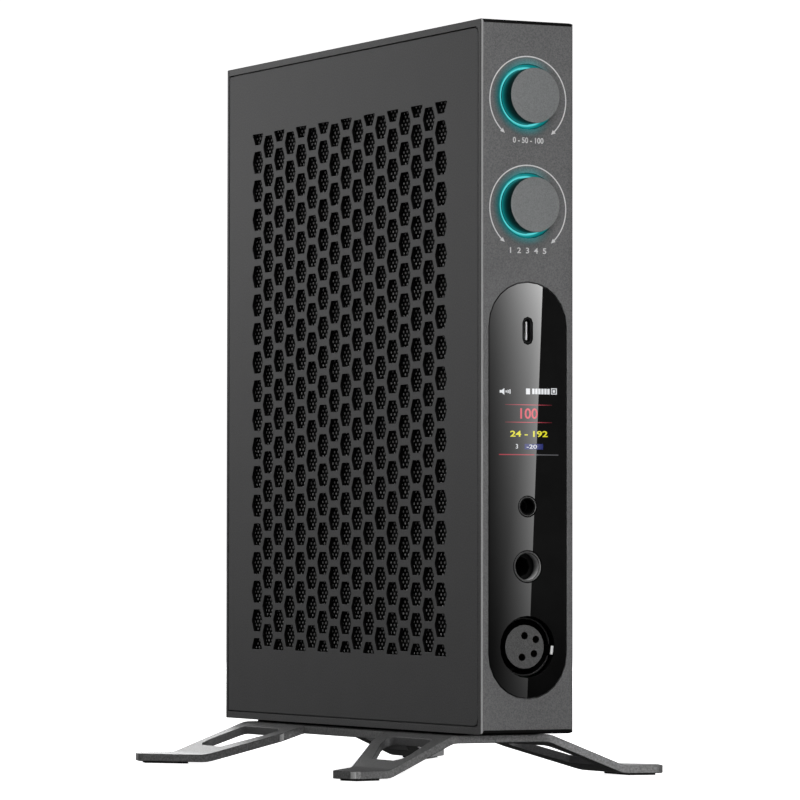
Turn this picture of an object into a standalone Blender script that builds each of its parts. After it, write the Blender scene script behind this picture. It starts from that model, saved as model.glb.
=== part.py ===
"""Slim desktop digital-to-analogue converter with headphone sockets, upright on a bent-plate stand.

Metres, +Z up. The front panel faces -Y, the vented cover faces -X, and the stand's pads rest on Z = 0.
"""

import math

import bmesh
import bpy
from mathutils import Matrix, Vector

# Clearances between pieces
FIT_GAP = 0.0003
TOUCH_GAP = 0.0001
COVER_GROOVE = 0.0005

# Case shell
CASE_WIDTH = 0.0360
CASE_DEPTH = 0.2056
CASE_HEIGHT = 0.24505
EDGE_RADIUS = 0.0010
REAR_EDGE_RADIUS = 0.0003
COVER_RIM = 0.0024
LEDGE_WIDTH = 0.0014
FRONT_LIP = 0.0024
FRONT_WALL = 0.0040
BASE_WALL = 0.0025
RAIL_WIDTH = 0.0050
RAIL_SPREAD = 0.0800
REAR_PANEL_THICK = 0.0018

# Vented cover and the dust mesh behind it
COVER_THICK = 0.0014
COVER_CORNER = 0.0022
VENT_PITCH = 0.0107
VENT_FLATS = 0.00813
VENT_FROM_FRONT = 0.0302
VENT_FROM_REAR = 0.0225
VENT_FROM_ENDS = 0.0225
MESH_THICK = 0.0004
MESH_MARGIN = 0.0040

# Knobs, their light rings and their encoders
KNOB_RADIUS = 0.0095
KNOB_REACH = 0.0054
KNOB_SKIRT = 0.0014
KNOB_CHAMFER = 0.0004
KNOB_WALL = 0.0012
KNOB_FACE = 0.0015
KNOB_PRESS = 0.0005
KNOB_BOSS_WALL = 0.0013
RING_GAP = 0.0004
RING_WIDTH = 0.0011
RING_FLANGE = 0.0014
RING_FLANGE_THICK = 0.0010
VOLUME_FROM_TOP = 0.0262
KNOB_SPACING = 0.0375
SHAFT_RADIUS = 0.0029
ROTOR_WALL = 0.0008
BUSHING_WALL = 0.0008
ENCODER_SIDE = 0.0130
ENCODER_FLOOR = 0.0008
ENCODER_BEHIND_WALL = 0.0019

# Front boards
BOARD_THICK = 0.0016
FRONT_BOARD_SETBACK = 0.0120

# Gloss insert in the front panel
LENS_MARGIN = 0.0027
LENS_THICK = 0.0015
LENS_SINK = 0.0001
LENS_LEDGE = 0.0022
LENS_FROM_KNOB = 0.0262
LENS_FROM_BOTTOM = 0.01195

# Spare length along the insert, shared out above, between and below its openings
SHARE_ABOVE_USB = 1.21
SHARE_ABOVE_SCREEN = 1.50
SHARE_ABOVE_BALANCED = 1.37
SHARE_ABOVE_HEADPHONE = 1.19
SHARE_ABOVE_XLR = 1.16
SHARE_BELOW_XLR = 0.73

# Openings and sockets in the insert
USB_SLOT_WIDTH = 0.0040
USB_SLOT_LENGTH = 0.0096
USB_SHELL_WIDTH = 0.0032
USB_SHELL_LENGTH = 0.0089
USB_SHELL_WALL = 0.0003
USB_SINK = 0.0003
USB_TONGUE_THICK = 0.0007
USB_TONGUE_MARGIN = 0.0009
USB_TONGUE_SINK = 0.0007
USB_BASE_DEPTH = 0.0035
SCREEN_MARGIN = 0.0036
SCREEN_FRAME = 0.0010
SCREEN_THICK = 0.0024
SCREEN_HOUSING_INSET = 0.0020
BALANCED_RADIUS = 0.0034
BALANCED_BORE = 0.0025
BALANCED_PLUG_BORE = 0.0022
BALANCED_SLEEVE = 0.0050
HEADPHONE_RADIUS = 0.0053
HEADPHONE_BORE = 0.0046
HEADPHONE_SLEEVE = 0.0048
HEADPHONE_PLUG_BORE = 0.0034
JACK_DEPTH = 0.0240
JACK_WALL = 0.0030
XLR_OPENING = 0.0106
XLR_SHELL_INSET = 0.0005
XLR_SHELL_WALL = 0.0005
XLR_SHELL_SINK = 0.0026
XLR_FROM_BOARD = 0.0009
XLR_DEPTH = 0.0220
XLR_BASE_THICK = 0.0040
XLR_INSERT_RADIUS = 0.00755
XLR_INSERT_SINK = 0.0023
XLR_PIN_RADIUS = 0.00135
XLR_PIN_DEPTH = 0.0100
XLR_PIN_PLACES = ((0.0000, 0.0038), (0.0044, 0.0025), (0.0037, -0.0024), (-0.0010, -0.0036))
XLR_TILT = -7
LATCH_WIDTH = 0.0011
LATCH_HEIGHT = 0.0031
LATCH_SINK = 0.0003
LATCH_DEPTH = 0.0120
LATCH_PRESS = 0.0010
LATCH_ROUND = 0.0003

# Boards and modules inside
AMP_BOARD_START = 0.0160
AMP_BOARD_DEPTH = 0.0420
AMP_BOARD_MARGIN = 0.0020
MAIN_BOARD_GAP = 0.0040
MAIN_BOARD_MARGIN = 0.0060
MODULE_DEPTH = 0.0500
MODULE_HEIGHT = 0.0600
MODULE_THICK = 0.0080
MODULE_SPREAD = 0.0360
MODULE_ROUND = 0.0010
POWER_HEIGHT = 0.0300
POWER_DEPTH = 0.0560
POWER_THICK = 0.0150
POWER_FROM_MIDDLE = 0.0920
CAPACITOR_RADIUS = 0.0063
CAPACITOR_HEIGHT = 0.0180
CAPACITOR_RIM = 0.0006
CAPACITOR_SPACING = 0.0160
CAPACITOR_GAP = 0.0060
FIN_COUNT = 7
FIN_PITCH = 0.0040
FIN_THICK = 0.0012
FIN_HEIGHT = 0.0110
SINK_BASE = 0.0030
SINK_LENGTH = 0.0500
SINK_MARGIN = 0.0020
RIBBON_WIDTH = 0.0160
RIBBON_THICK = 0.0003
RIBBON_OUT = 0.0020
RIBBON_LEAD = 0.0080
RIBBON_LANDING = 0.0060

# Sockets in the rear panel
PLUG_REACH = 0.0085
PHONO_RADIUS = 0.00415
PHONO_BORE = 0.00175
PHONO_BORE_DEPTH = 0.0160
PHONO_BODY = 0.0110
PHONO_BODY_DEPTH = 0.0120
OPTICAL_SIDE = 0.0097
OPTICAL_BODY_DEPTH = 0.0130
OPTICAL_BORE = 0.0074
OPTICAL_BORE_DEPTH = 0.0090
OPTICAL_REACH = 0.0006
REAR_USB_REACH = 0.0004
REAR_USB_DEPTH = 0.0098
DC_BODY = 0.0110
DC_BODY_DEPTH = 0.0140
DC_BORE = 0.0032
DC_PIN = 0.0010
DC_BORE_DEPTH = 0.0095
DC_RIM = 0.0010
DC_REACH = 0.0005
REAR_MARGIN = 0.0160

# Fasteners
SCREW_RADIUS = 0.0012
SCREW_HEAD = 0.0024
SCREW_HEAD_THICK = 0.0012
SCREW_DEPTH = 0.0070
SCREW_FROM_SIDE = 0.0070
SCREW_FROM_END = 0.0068
SCREW_BLOCK = 0.0032
SCREW_BLOCK_DEPTH = 0.0100

# Bent-plate stand, its pads, the sheet between it and the case, and its screws
STAND_THICK = 0.0028
STAND_DROP = 0.01125
BEND_RADIUS = 0.0075
PLATE_HALF_WIDTH = 0.01905
PLATE_HALF_LENGTH = 0.0840
FOOT_BEND = 0.0461
FOOT_TIP_OUT = 0.0603
FOOT_TIP_END = 0.0920
FOOT_HEEL_OUT = 0.0639
FOOT_HEEL_END = 0.0807
LEG_KINK_OUT = 0.0263
LEG_KINK_END = 0.03675
LEG_ROOT_END = 0.0331
FOOT_CORNER = 0.0030
KINK_CORNER = 0.0040
WINDOW_FROM_PLATE = 0.0036
WINDOW_FROM_BEND = 0.0071
WINDOW_HEEL_WEB = 0.0118
WINDOW_TIP_WEB = 0.0087
WINDOW_TIP_WEB_OUTER = 0.0044
WINDOW_CORNER = 0.0032
PAD_THICK = 0.0006
PAD_MARGIN = 0.0025
PAD_CORNER = 0.0012
GASKET_THICK = 0.0006
GASKET_INSET = 0.0030
STAND_SCREW_RADIUS = 0.0019
STAND_SCREW_HEAD = 0.0040
STAND_SCREW_SOCKET = 0.0015
STAND_SCREW_SOCKET_DEPTH = 0.0012
STAND_SCREW_DEPTH = 0.0060
STAND_SCREW_SPREAD = 0.0600
STAND_SCREW_BOSS_WALL = 0.0022

# Facet counts
ROUND_STEPS = 24
SOCKET_STEPS = 12
SMALL_STEPS = 8
ARC_STEPS = 12
CORNER_STEPS = 2
SHARP_ANGLE = math.radians(40)
OUTLINE_SCALE = 1000.0
WELD_DISTANCE = 1e-6

# Places worked out from the sizes above
LEFT = -CASE_WIDTH / 2
RIGHT = CASE_WIDTH / 2
FRONT = -(CASE_DEPTH + PLUG_REACH - KNOB_REACH) / 2
REAR = FRONT + CASE_DEPTH
MIDDLE = (FRONT + REAR) / 2
PANEL_INSIDE = REAR - REAR_PANEL_THICK
SHELL_END = PANEL_INSIDE - TOUCH_GAP
FOOT_BOTTOM = PAD_THICK + TOUCH_GAP
PLATE_TOP = FOOT_BOTTOM + STAND_THICK + STAND_DROP
BOTTOM = PLATE_TOP + GASKET_THICK + 2 * TOUCH_GAP
TOP = BOTTOM + CASE_HEIGHT
CENTRE = (BOTTOM + TOP) / 2
SHELL_WALL = COVER_RIM + LEDGE_WIDTH
CAVITY_BASE = RIGHT - BASE_WALL
LEDGE_FACE = LEFT + COVER_THICK + TOUCH_GAP
VOLUME_AXIS = TOP - VOLUME_FROM_TOP
MENU_AXIS = VOLUME_AXIS - KNOB_SPACING
RING_BORE = KNOB_RADIUS + RING_GAP
RING_RADIUS = RING_BORE + RING_WIDTH
LENS_TOP = MENU_AXIS - LENS_FROM_KNOB
LENS_BOTTOM = BOTTOM + LENS_FROM_BOTTOM
LENS_WIDTH = CASE_WIDTH - 2 * LENS_MARGIN
LENS_LENGTH = LENS_TOP - LENS_BOTTOM
LENS_CENTRE = (LENS_TOP + LENS_BOTTOM) / 2
LENS_BACK = FRONT + LENS_SINK + LENS_THICK
SCREEN_SIDE = LENS_WIDTH - 2 * SCREEN_MARGIN
FRONT_BOARD_FACE = FRONT + FRONT_BOARD_SETBACK
XLR_SHELL_RADIUS = XLR_OPENING - XLR_SHELL_INSET
XLR_SHELL_BORE = XLR_SHELL_RADIUS - XLR_SHELL_WALL
BOARD_FACE = XLR_SHELL_RADIUS + XLR_FROM_BOARD
RAIL_FACE = BOARD_FACE + BOARD_THICK + FIT_GAP
SEAT_FACE = BOARD_FACE - FIT_GAP
AMP_START = FRONT + AMP_BOARD_START
AMP_END = AMP_START + AMP_BOARD_DEPTH
MAIN_START = AMP_END + MAIN_BOARD_GAP
MAIN_END = PANEL_INSIDE - MAIN_BOARD_MARGIN

FACING_FRONT = (math.pi / 2, 0, 0)
FACING_REAR = (-math.pi / 2, 0, 0)
FACING_LEFT = Matrix(((0, 0, -1), (-1, 0, 0), (0, 1, 0))).to_euler()
TOWARDS_LEFT = (0, -math.pi / 2, 0)

# Finishes: colour, roughness and metallic value
ALUMINIUM = ((0.13, 0.13, 0.135), 0.45, 0.8)
KNOB_METAL = ((0.16, 0.16, 0.165), 0.40, 0.8)
STAND_STEEL = ((0.10, 0.10, 0.105), 0.55, 0.6)
BRIGHT_METAL = ((0.55, 0.55, 0.55), 0.25, 1.0)
GOLD = ((0.65, 0.48, 0.20), 0.30, 1.0)
GLOSS_BLACK = ((0.006, 0.006, 0.007), 0.05, 0.0)
BLACK_PLASTIC = ((0.02, 0.02, 0.02), 0.5, 0.0)
GREY_PLASTIC = ((0.16, 0.16, 0.16), 0.6, 0.0)
LIGHT_GUIDE = ((0.05, 0.60, 0.62), 0.4, 0.0)
CIRCUIT_BOARD = ((0.02, 0.09, 0.05), 0.6, 0.0)
RUBBER = ((0.015, 0.015, 0.015), 0.9, 0.0)
MESH_BLACK = ((0.01, 0.01, 0.01), 0.7, 0.3)


def clear_scene():
    for obj in list(bpy.data.objects):
        bpy.data.objects.remove(obj)


def new_collection(name):
    collection = bpy.data.collections.new(name)
    bpy.context.scene.collection.children.link(collection)
    return collection


clear_scene()
PARTS = new_collection("desktop_dac")
CUTTERS = new_collection("desktop_dac_cutters")


def finish(obj, look):
    """Give an object its own Principled material, named for it."""
    colour, roughness, metallic = look
    material = bpy.data.materials.new(obj.name)
    material.use_nodes = True
    shader = material.node_tree.nodes["Principled BSDF"]
    shader.inputs["Base Color"].default_value = (*colour, 1)
    shader.inputs["Roughness"].default_value = roughness
    shader.inputs["Metallic"].default_value = metallic
    obj.data.materials.clear()
    obj.data.materials.append(material)


def place(name, mesh, location, rotation, look, parent):
    """Put a mesh in the scene as a part, or as a hidden cutter where it has no look."""
    obj = bpy.data.objects.new(name, mesh)
    obj.location = location
    obj.rotation_euler = rotation
    obj.parent = parent
    if look is None:
        CUTTERS.objects.link(obj)
        obj.hide_render = True
        obj.display_type = "WIRE"
    else:
        PARTS.objects.link(obj)
        finish(obj, look)
    return obj


def empty(name, location):
    obj = bpy.data.objects.new(name, None)
    obj.location = location
    PARTS.objects.link(obj)
    return obj


def box(name, low, high, look=None, parent=None, rounded=None, radius=0.0):
    """A block between two corners; rounded picks the edges to round, by their end points."""
    low, high = Vector(low), Vector(high)
    bm = bmesh.new()
    bmesh.ops.create_cube(bm, size=1.0)
    bmesh.ops.scale(bm, vec=high - low, verts=bm.verts)
    if rounded:
        edges = [edge for edge in bm.edges if rounded(*(vert.co for vert in edge.verts))]
        bmesh.ops.bevel(
            bm, geom=edges, offset=radius, segments=CORNER_STEPS, profile=0.5, affect="EDGES"
        )
    mesh = bpy.data.meshes.new(name)
    bm.to_mesh(mesh)
    bm.free()
    return place(name, mesh, (low + high) / 2, (0, 0, 0), look, parent)


def turned(name, profile, location, rotation, look=None, parent=None, steps=ROUND_STEPS, ring=False):
    """A turned piece: (radius, height) points from the top down the outside, along local Z."""
    mesh = bpy.data.meshes.new(name)
    points = [(radius, 0, height) for radius, height in profile]
    edges = [(i, i + 1) for i in range(len(points) - 1)]
    if ring:
        edges.append((len(points) - 1, 0))
    mesh.from_pydata(points, edges, [])
    obj = place(name, mesh, location, rotation, look, parent)
    screw = obj.modifiers.new("turn", "SCREW")
    screw.axis = "Z"
    screw.steps = steps
    screw.render_steps = steps
    screw.use_merge_vertices = True
    screw.merge_threshold = WELD_DISTANCE
    screw.use_smooth_shade = True
    return obj


def rod(name, radius, low, high, location, rotation, look=None, steps=ROUND_STEPS, end_radius=None):
    """A plain cylinder along local Z, from low to high, or a cone where its upper end has its own radius."""
    bm = bmesh.new()
    upper = radius if end_radius is None else end_radius
    bmesh.ops.create_cone(
        bm, cap_ends=True, segments=steps, radius1=radius, radius2=upper, depth=high - low
    )
    bmesh.ops.translate(bm, vec=(0, 0, (low + high) / 2), verts=bm.verts)
    mesh = bpy.data.meshes.new(name)
    bm.to_mesh(mesh)
    bm.free()
    mesh.shade_smooth()
    mesh.set_sharp_from_angle(angle=SHARP_ANGLE)
    return place(name, mesh, location, rotation, look, None)


def circle(x, y, radius, steps):
    turn = 2 * math.pi / steps
    return [(x + radius * math.cos(i * turn), y + radius * math.sin(i * turn)) for i in range(steps)]


def rounded_loop(corners, radius, steps=CORNER_STEPS):
    """A closed outline through the corners, each rounded; a radius for all, or one for each."""
    radii = radius if isinstance(radius, (list, tuple)) else [radius] * len(corners)
    points = [Vector(corner) for corner in corners]
    loop = []
    for i, (corner, bend) in enumerate(zip(points, radii)):
        back = (points[i - 1] - corner).normalized()
        ahead = (points[(i + 1) % len(points)] - corner).normalized()
        if not bend:
            loop.append(tuple(corner))
            continue
        half = back.angle(ahead) / 2
        centre = corner + (back + ahead).normalized() * (bend / math.sin(half))
        start = corner + back * (bend / math.tan(half)) - centre
        end = corner + ahead * (bend / math.tan(half)) - centre
        sweep = start.angle_signed(end)
        for k in range(steps + 1):
            turn = Matrix.Rotation(-sweep * k / steps, 2)
            loop.append(tuple(centre + turn @ start))
    return loop


def rectangle(x, y, width, height):
    reach = (width / 2, height / 2)
    return [(x + u * reach[0], y + v * reach[1]) for u, v in ((-1, -1), (1, -1), (1, 1), (-1, 1))]


def slot(x, y, width, length, steps=ARC_STEPS):
    """An upright slot with fully round ends."""
    radius = width / 2
    reach = length / 2 - radius
    turn = math.pi / steps
    upper = [
        (x + radius * math.cos(i * turn), y + reach + radius * math.sin(i * turn))
        for i in range(steps + 1)
    ]
    return upper + [(2 * x - px, 2 * y - py) for px, py in upper]


def outline_mesh(name, loops, thickness):
    """The mesh of a flat outline with holes, drawn as a 2D curve; a thickness of 0 gives one surface."""
    curve = bpy.data.curves.new(name, "CURVE")
    curve.dimensions = "2D"
    curve.fill_mode = "BOTH"
    curve.extrude = thickness / 2 * OUTLINE_SCALE
    for loop in loops:
        spline = curve.splines.new("POLY")
        spline.points.add(len(loop) - 1)
        for point, (x, y) in zip(spline.points, loop):
            point.co = (x * OUTLINE_SCALE, y * OUTLINE_SCALE, 0, 1)
        spline.use_cyclic_u = True
    holder = bpy.data.objects.new(name, curve)
    CUTTERS.objects.link(holder)
    bpy.context.view_layer.update()
    evaluated = holder.evaluated_get(bpy.context.evaluated_depsgraph_get())
    mesh = bpy.data.meshes.new_from_object(evaluated)
    bpy.data.objects.remove(holder)
    bm = bmesh.new()
    bm.from_mesh(mesh)
    bmesh.ops.scale(bm, vec=Vector((1, 1, 1)) / OUTLINE_SCALE, verts=bm.verts)
    bmesh.ops.remove_doubles(bm, verts=bm.verts, dist=WELD_DISTANCE)
    bmesh.ops.recalc_face_normals(bm, faces=bm.faces)
    bm.to_mesh(mesh)
    bm.free()
    return mesh


def plate(name, loops, thickness, location, rotation, look=None):
    return place(name, outline_mesh(name, loops, thickness), location, rotation, look, None)


def boolean(target, operation, others):
    for other in others:
        modifier = target.modifiers.new(other.name, "BOOLEAN")
        modifier.operation = operation
        modifier.solver = "EXACT"
        modifier.object = other


def cut(target, *others):
    boolean(target, "DIFFERENCE", others)


def join(target, *others):
    boolean(target, "UNION", others)


def intersect(target, *others):
    boolean(target, "INTERSECT", others)


def mitre(point, normal, next_normal, distance):
    """A corner moved so that both of its sides move by the distance along their normals."""
    middle = (normal + next_normal).normalized()
    return point + middle * (distance / middle.dot(normal))


def strip(points, thickness):
    """The closed outline of a bent sheet: its upper line, and the same line one thickness below."""
    line = [Vector(point) for point in points]
    normals = []
    for start, end in zip(line, line[1:]):
        ahead = (end - start).normalized()
        normals.append(Vector((ahead.y, -ahead.x)))
    before = [normals[0]] + normals
    after = normals + [normals[-1]]
    lower = [mitre(*corner, thickness) for corner in zip(line, before, after)]
    return line + lower[::-1]


def inset(corners, distance):
    """A convex outline, anticlockwise, with each side moved inward."""
    line = [Vector(corner) for corner in corners]
    normals = []
    for start, end in zip(line, line[1:] + line[:1]):
        ahead = (end - start).normalized()
        normals.append(Vector((-ahead.y, ahead.x)))
    return [mitre(point, normals[i - 1], normals[i], distance) for i, point in enumerate(line)]


def lens_heights():
    """Heights of the insert's openings; the length that they leave is shared out between them."""
    openings = (
        USB_SLOT_LENGTH,
        SCREEN_SIDE,
        2 * BALANCED_RADIUS,
        2 * HEADPHONE_RADIUS,
        2 * XLR_OPENING,
    )
    shares = (
        SHARE_ABOVE_USB,
        SHARE_ABOVE_SCREEN,
        SHARE_ABOVE_BALANCED,
        SHARE_ABOVE_HEADPHONE,
        SHARE_ABOVE_XLR,
        SHARE_BELOW_XLR,
    )
    unit = (LENS_LENGTH - sum(openings)) / sum(shares)
    height = LENS_TOP
    heights = []
    for share, opening in zip(shares, openings):
        height -= share * unit + opening / 2
        heights.append(height)
        height -= opening / 2
    return heights


USB_Z, SCREEN_Z, BALANCED_Z, HEADPHONE_Z, XLR_Z = lens_heights()
PHONO_NAMES = ("line_out_left", "line_out_right", "line_in_left", "line_in_right", "coaxial_socket")
SOCKET_COUNT = len(PHONO_NAMES) + 3
SOCKET_PITCH = (CASE_HEIGHT - 2 * REAR_MARGIN) / SOCKET_COUNT
SOCKET_HEIGHTS = [TOP - REAR_MARGIN - SOCKET_PITCH * (i + 0.5) for i in range(SOCKET_COUNT)]
PHONO_HEIGHTS = SOCKET_HEIGHTS[:-3]
OPTICAL_Z, REAR_USB_Z, DC_Z = SOCKET_HEIGHTS[-3:]
REAR_SCREWS = [
    (x, z)
    for x in (LEFT + SCREW_FROM_SIDE, RIGHT - SCREW_FROM_SIDE)
    for z in (BOTTOM + SCREW_FROM_END, TOP - SCREW_FROM_END)
]
STAND_SCREWS = (("front", MIDDLE - STAND_SCREW_SPREAD), ("rear", MIDDLE + STAND_SCREW_SPREAD))
LATCH_OUT = XLR_OPENING - FIT_GAP - LATCH_WIDTH / 2
LATCH_TURN = math.radians(XLR_TILT)


def cover_outline(gap):
    """The cover's outline in its own plane, less a gap on every side but the open rear of the shell."""
    front = MIDDLE - FRONT - FRONT_LIP - gap
    rear = MIDDLE - SHELL_END + gap
    half = CASE_HEIGHT / 2 - COVER_RIM - gap
    corners = [(rear, -half), (front, -half), (front, half), (rear, half)]
    return corners, (0, COVER_CORNER, COVER_CORNER, 0)


def main_shell():
    """One-piece tray: front, top, bottom and base walls, open to the cover and to the rear panel."""
    shell = box(
        "main_shell",
        (LEFT, FRONT, BOTTOM),
        (RIGHT, SHELL_END, TOP),
        ALUMINIUM,
        rounded=lambda start, end: max(start.y, end.y) < 0,
        radius=EDGE_RADIUS,
    )
    beyond = CASE_DEPTH / 4
    corners, radii = cover_outline(0)
    recess = plate(
        "cover_recess",
        [rounded_loop([(x - beyond if x < 0 else x, z) for x, z in corners], radii)],
        2 * (COVER_THICK + TOUCH_GAP),
        (LEFT, MIDDLE, CENTRE),
        FACING_LEFT,
    )
    cavity = box(
        "shell_cavity",
        (LEFT - CASE_WIDTH, FRONT + FRONT_WALL, BOTTOM + SHELL_WALL),
        (CAVITY_BASE, SHELL_END + beyond, TOP - SHELL_WALL),
    )
    cut(shell, recess, cavity)
    cut_front(shell)
    add_rails(shell)
    cut(shell, *add_rear_screw_blocks(shell), *add_stand_bosses(shell))


def cut_front(shell):
    """Knob holes and the stepped recess of the gloss insert."""
    for name, z in (("volume", VOLUME_AXIS), ("menu", MENU_AXIS)):
        hole = rod(
            f"{name}_hole",
            RING_RADIUS + FIT_GAP,
            -2 * FRONT_WALL,
            FRONT_WALL,
            (0, FRONT, z),
            FACING_FRONT,
        )
        cut(shell, hole)
    seat = plate(
        "lens_seat",
        [slot(0, 0, LENS_WIDTH, LENS_LENGTH)],
        2 * (LENS_SINK + LENS_THICK + TOUCH_GAP),
        (0, FRONT, LENS_CENTRE),
        FACING_FRONT,
    )
    window = plate(
        "lens_window",
        [slot(0, 0, LENS_WIDTH - 2 * LENS_LEDGE, LENS_LENGTH - 2 * LENS_LEDGE)],
        4 * FRONT_WALL,
        (0, FRONT, LENS_CENTRE),
        FACING_FRONT,
    )
    cut(shell, seat, window)


def add_rails(shell):
    """Two rails along the base wall that carry the boards."""
    for name, z in (("upper", CENTRE + RAIL_SPREAD), ("lower", CENTRE - RAIL_SPREAD)):
        rail = box(
            f"{name}_rail",
            (RAIL_FACE, AMP_START, z - RAIL_WIDTH / 2),
            (CAVITY_BASE + BASE_WALL / 2, MAIN_END, z + RAIL_WIDTH / 2),
        )
        join(shell, rail)


def add_rear_screw_blocks(shell):
    """Blocks in the rear corners, behind the rear panel; gives back the cutters of their holes."""
    holes = []
    for index, (x, z) in enumerate(REAR_SCREWS, 1):
        inward = 1 if z < CENTRE else -1
        wall = (BOTTOM if z < CENTRE else TOP) + inward * SHELL_WALL / 2
        low, high = sorted((wall, z + inward * SCREW_BLOCK))
        block = box(
            f"screw_block_{index}",
            (x - SCREW_BLOCK, SHELL_END - SCREW_BLOCK_DEPTH, low),
            (x + SCREW_BLOCK, SHELL_END - FIT_GAP, high),
        )
        hole = rod(
            f"screw_hole_{index}",
            SCREW_RADIUS + FIT_GAP,
            -SCREW_DEPTH - FIT_GAP,
            SCREW_DEPTH,
            (x, SHELL_END, z),
            FACING_REAR,
            steps=SMALL_STEPS,
        )
        join(shell, block)
        holes.append(hole)
    return holes


def add_stand_bosses(shell):
    """Bosses inside the bottom wall, over the stand's screws; gives back the cutters of their holes."""
    radius = STAND_SCREW_RADIUS + FIT_GAP
    depth = STAND_SCREW_DEPTH + FIT_GAP
    holes = []
    for name, y in STAND_SCREWS:
        foot = (0, y, BOTTOM)
        boss = rod(
            f"{name}_stand_boss",
            radius + STAND_SCREW_BOSS_WALL,
            SHELL_WALL / 2,
            depth,
            foot,
            (0, 0, 0),
            steps=SMALL_STEPS,
        )
        hole = rod(f"{name}_stand_hole", radius, -depth, 2 * depth, foot, (0, 0, 0), steps=SMALL_STEPS)
        join(shell, boss)
        holes.append(hole)
    return holes


VENT_STEP = VENT_PITCH * math.sqrt(3) / 2
VENT_RADIUS = VENT_FLATS / math.sqrt(3)
VENT_COLUMNS = math.floor((CASE_DEPTH - VENT_FROM_FRONT - VENT_FROM_REAR) / VENT_STEP) + 1
VENT_ROWS = math.floor((CASE_HEIGHT - 2 * VENT_FROM_ENDS) / VENT_PITCH)


def hexagon(x, y):
    """A vent with flats above and below and corners to the front and back."""
    return circle(x, y, VENT_RADIUS, 6)


def half_hexagon(x, y):
    """A vent at the end of a column, cut flat through its middle."""
    points = hexagon(x, y)
    return points[3:] + points[:1] if y > 0 else points[:4]


def vent_loops():
    """Columns of vents; every second one is shifted by half a pitch and ends in half vents."""
    loops = []
    for column in range(VENT_COLUMNS):
        x = MIDDLE - FRONT - VENT_FROM_FRONT - column * VENT_STEP
        shifted = column % 2 == 0
        count = VENT_ROWS - 1 if shifted else VENT_ROWS
        for row in range(count):
            loops.append(hexagon(x, (row - (count - 1) / 2) * VENT_PITCH))
        if shifted:
            end = VENT_ROWS / 2 * VENT_PITCH
            loops += [half_hexagon(x, end), half_hexagon(x, -end)]
    return loops


def side_cover():
    """The inset cover with its field of hexagonal vents."""
    plate(
        "side_cover",
        [rounded_loop(*cover_outline(COVER_GROOVE))] + vent_loops(),
        COVER_THICK,
        (LEFT + COVER_THICK / 2, MIDDLE, CENTRE),
        FACING_LEFT,
        ALUMINIUM,
    )


def dust_mesh():
    """The fine black mesh that lies against the cover, behind the vents."""
    start = FRONT + VENT_FROM_FRONT - VENT_RADIUS - MESH_MARGIN
    end = FRONT + VENT_FROM_FRONT + (VENT_COLUMNS - 1) * VENT_STEP + VENT_RADIUS + MESH_MARGIN
    half = VENT_ROWS / 2 * VENT_PITCH + MESH_MARGIN
    box(
        "dust_mesh",
        (LEDGE_FACE, start, CENTRE - half),
        (LEDGE_FACE + MESH_THICK, end, CENTRE + half),
        MESH_BLACK,
    )


def front_lens():
    """Gloss insert with the openings of its sockets; the screen shows through it."""
    loops = [
        slot(0, 0, LENS_WIDTH - 2 * FIT_GAP, LENS_LENGTH - 2 * FIT_GAP),
        slot(0, USB_Z - LENS_CENTRE, USB_SLOT_WIDTH, USB_SLOT_LENGTH, SMALL_STEPS // 2),
        circle(0, BALANCED_Z - LENS_CENTRE, BALANCED_RADIUS + FIT_GAP, ROUND_STEPS),
        circle(0, HEADPHONE_Z - LENS_CENTRE, HEADPHONE_RADIUS + FIT_GAP, ROUND_STEPS),
        circle(0, XLR_Z - LENS_CENTRE, XLR_OPENING, ROUND_STEPS),
    ]
    plate(
        "front_lens",
        loops,
        LENS_THICK,
        (0, FRONT + LENS_SINK + LENS_THICK / 2, LENS_CENTRE),
        FACING_FRONT,
        GLOSS_BLACK,
    )


def display_module():
    """Square screen behind the insert, with its housing reaching back to the front board."""
    half = SCREEN_SIDE / 2 + SCREEN_FRAME
    inner = half - SCREEN_HOUSING_INSET
    face = LENS_BACK + FIT_GAP
    module = box(
        "display_module",
        (-half, face, SCREEN_Z - half),
        (half, face + SCREEN_THICK, SCREEN_Z + half),
        BLACK_PLASTIC,
    )
    housing = box(
        "display_housing",
        (-inner, face + SCREEN_THICK / 2, SCREEN_Z - inner),
        (inner, FRONT_BOARD_FACE - FIT_GAP, SCREEN_Z + inner),
    )
    join(module, housing)


def front_board():
    """Board across the front that carries the encoders, the front USB socket and the screen."""
    box(
        "front_board",
        (LEDGE_FACE + LEDGE_WIDTH, FRONT_BOARD_FACE, SCREEN_Z - SCREEN_SIDE / 2),
        (CAVITY_BASE - FIT_GAP, FRONT_BOARD_FACE + BOARD_THICK, TOP - SHELL_WALL - FIT_GAP),
        CIRCUIT_BOARD,
    )


ROTOR_BORE = SHAFT_RADIUS + FIT_GAP
ROTOR_RADIUS = ROTOR_BORE + ROTOR_WALL
ENCODER_BORE = ROTOR_RADIUS + FIT_GAP
BUSHING_RADIUS = ENCODER_BORE + BUSHING_WALL
KNOB_CEILING = KNOB_REACH - KNOB_FACE
BUSHING_TOP = -KNOB_SKIRT - KNOB_PRESS - 2 * FIT_GAP
ENCODER_END = FIT_GAP - FRONT_BOARD_SETBACK
ENCODER_BORE_END = ENCODER_END + ENCODER_FLOOR


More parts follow.
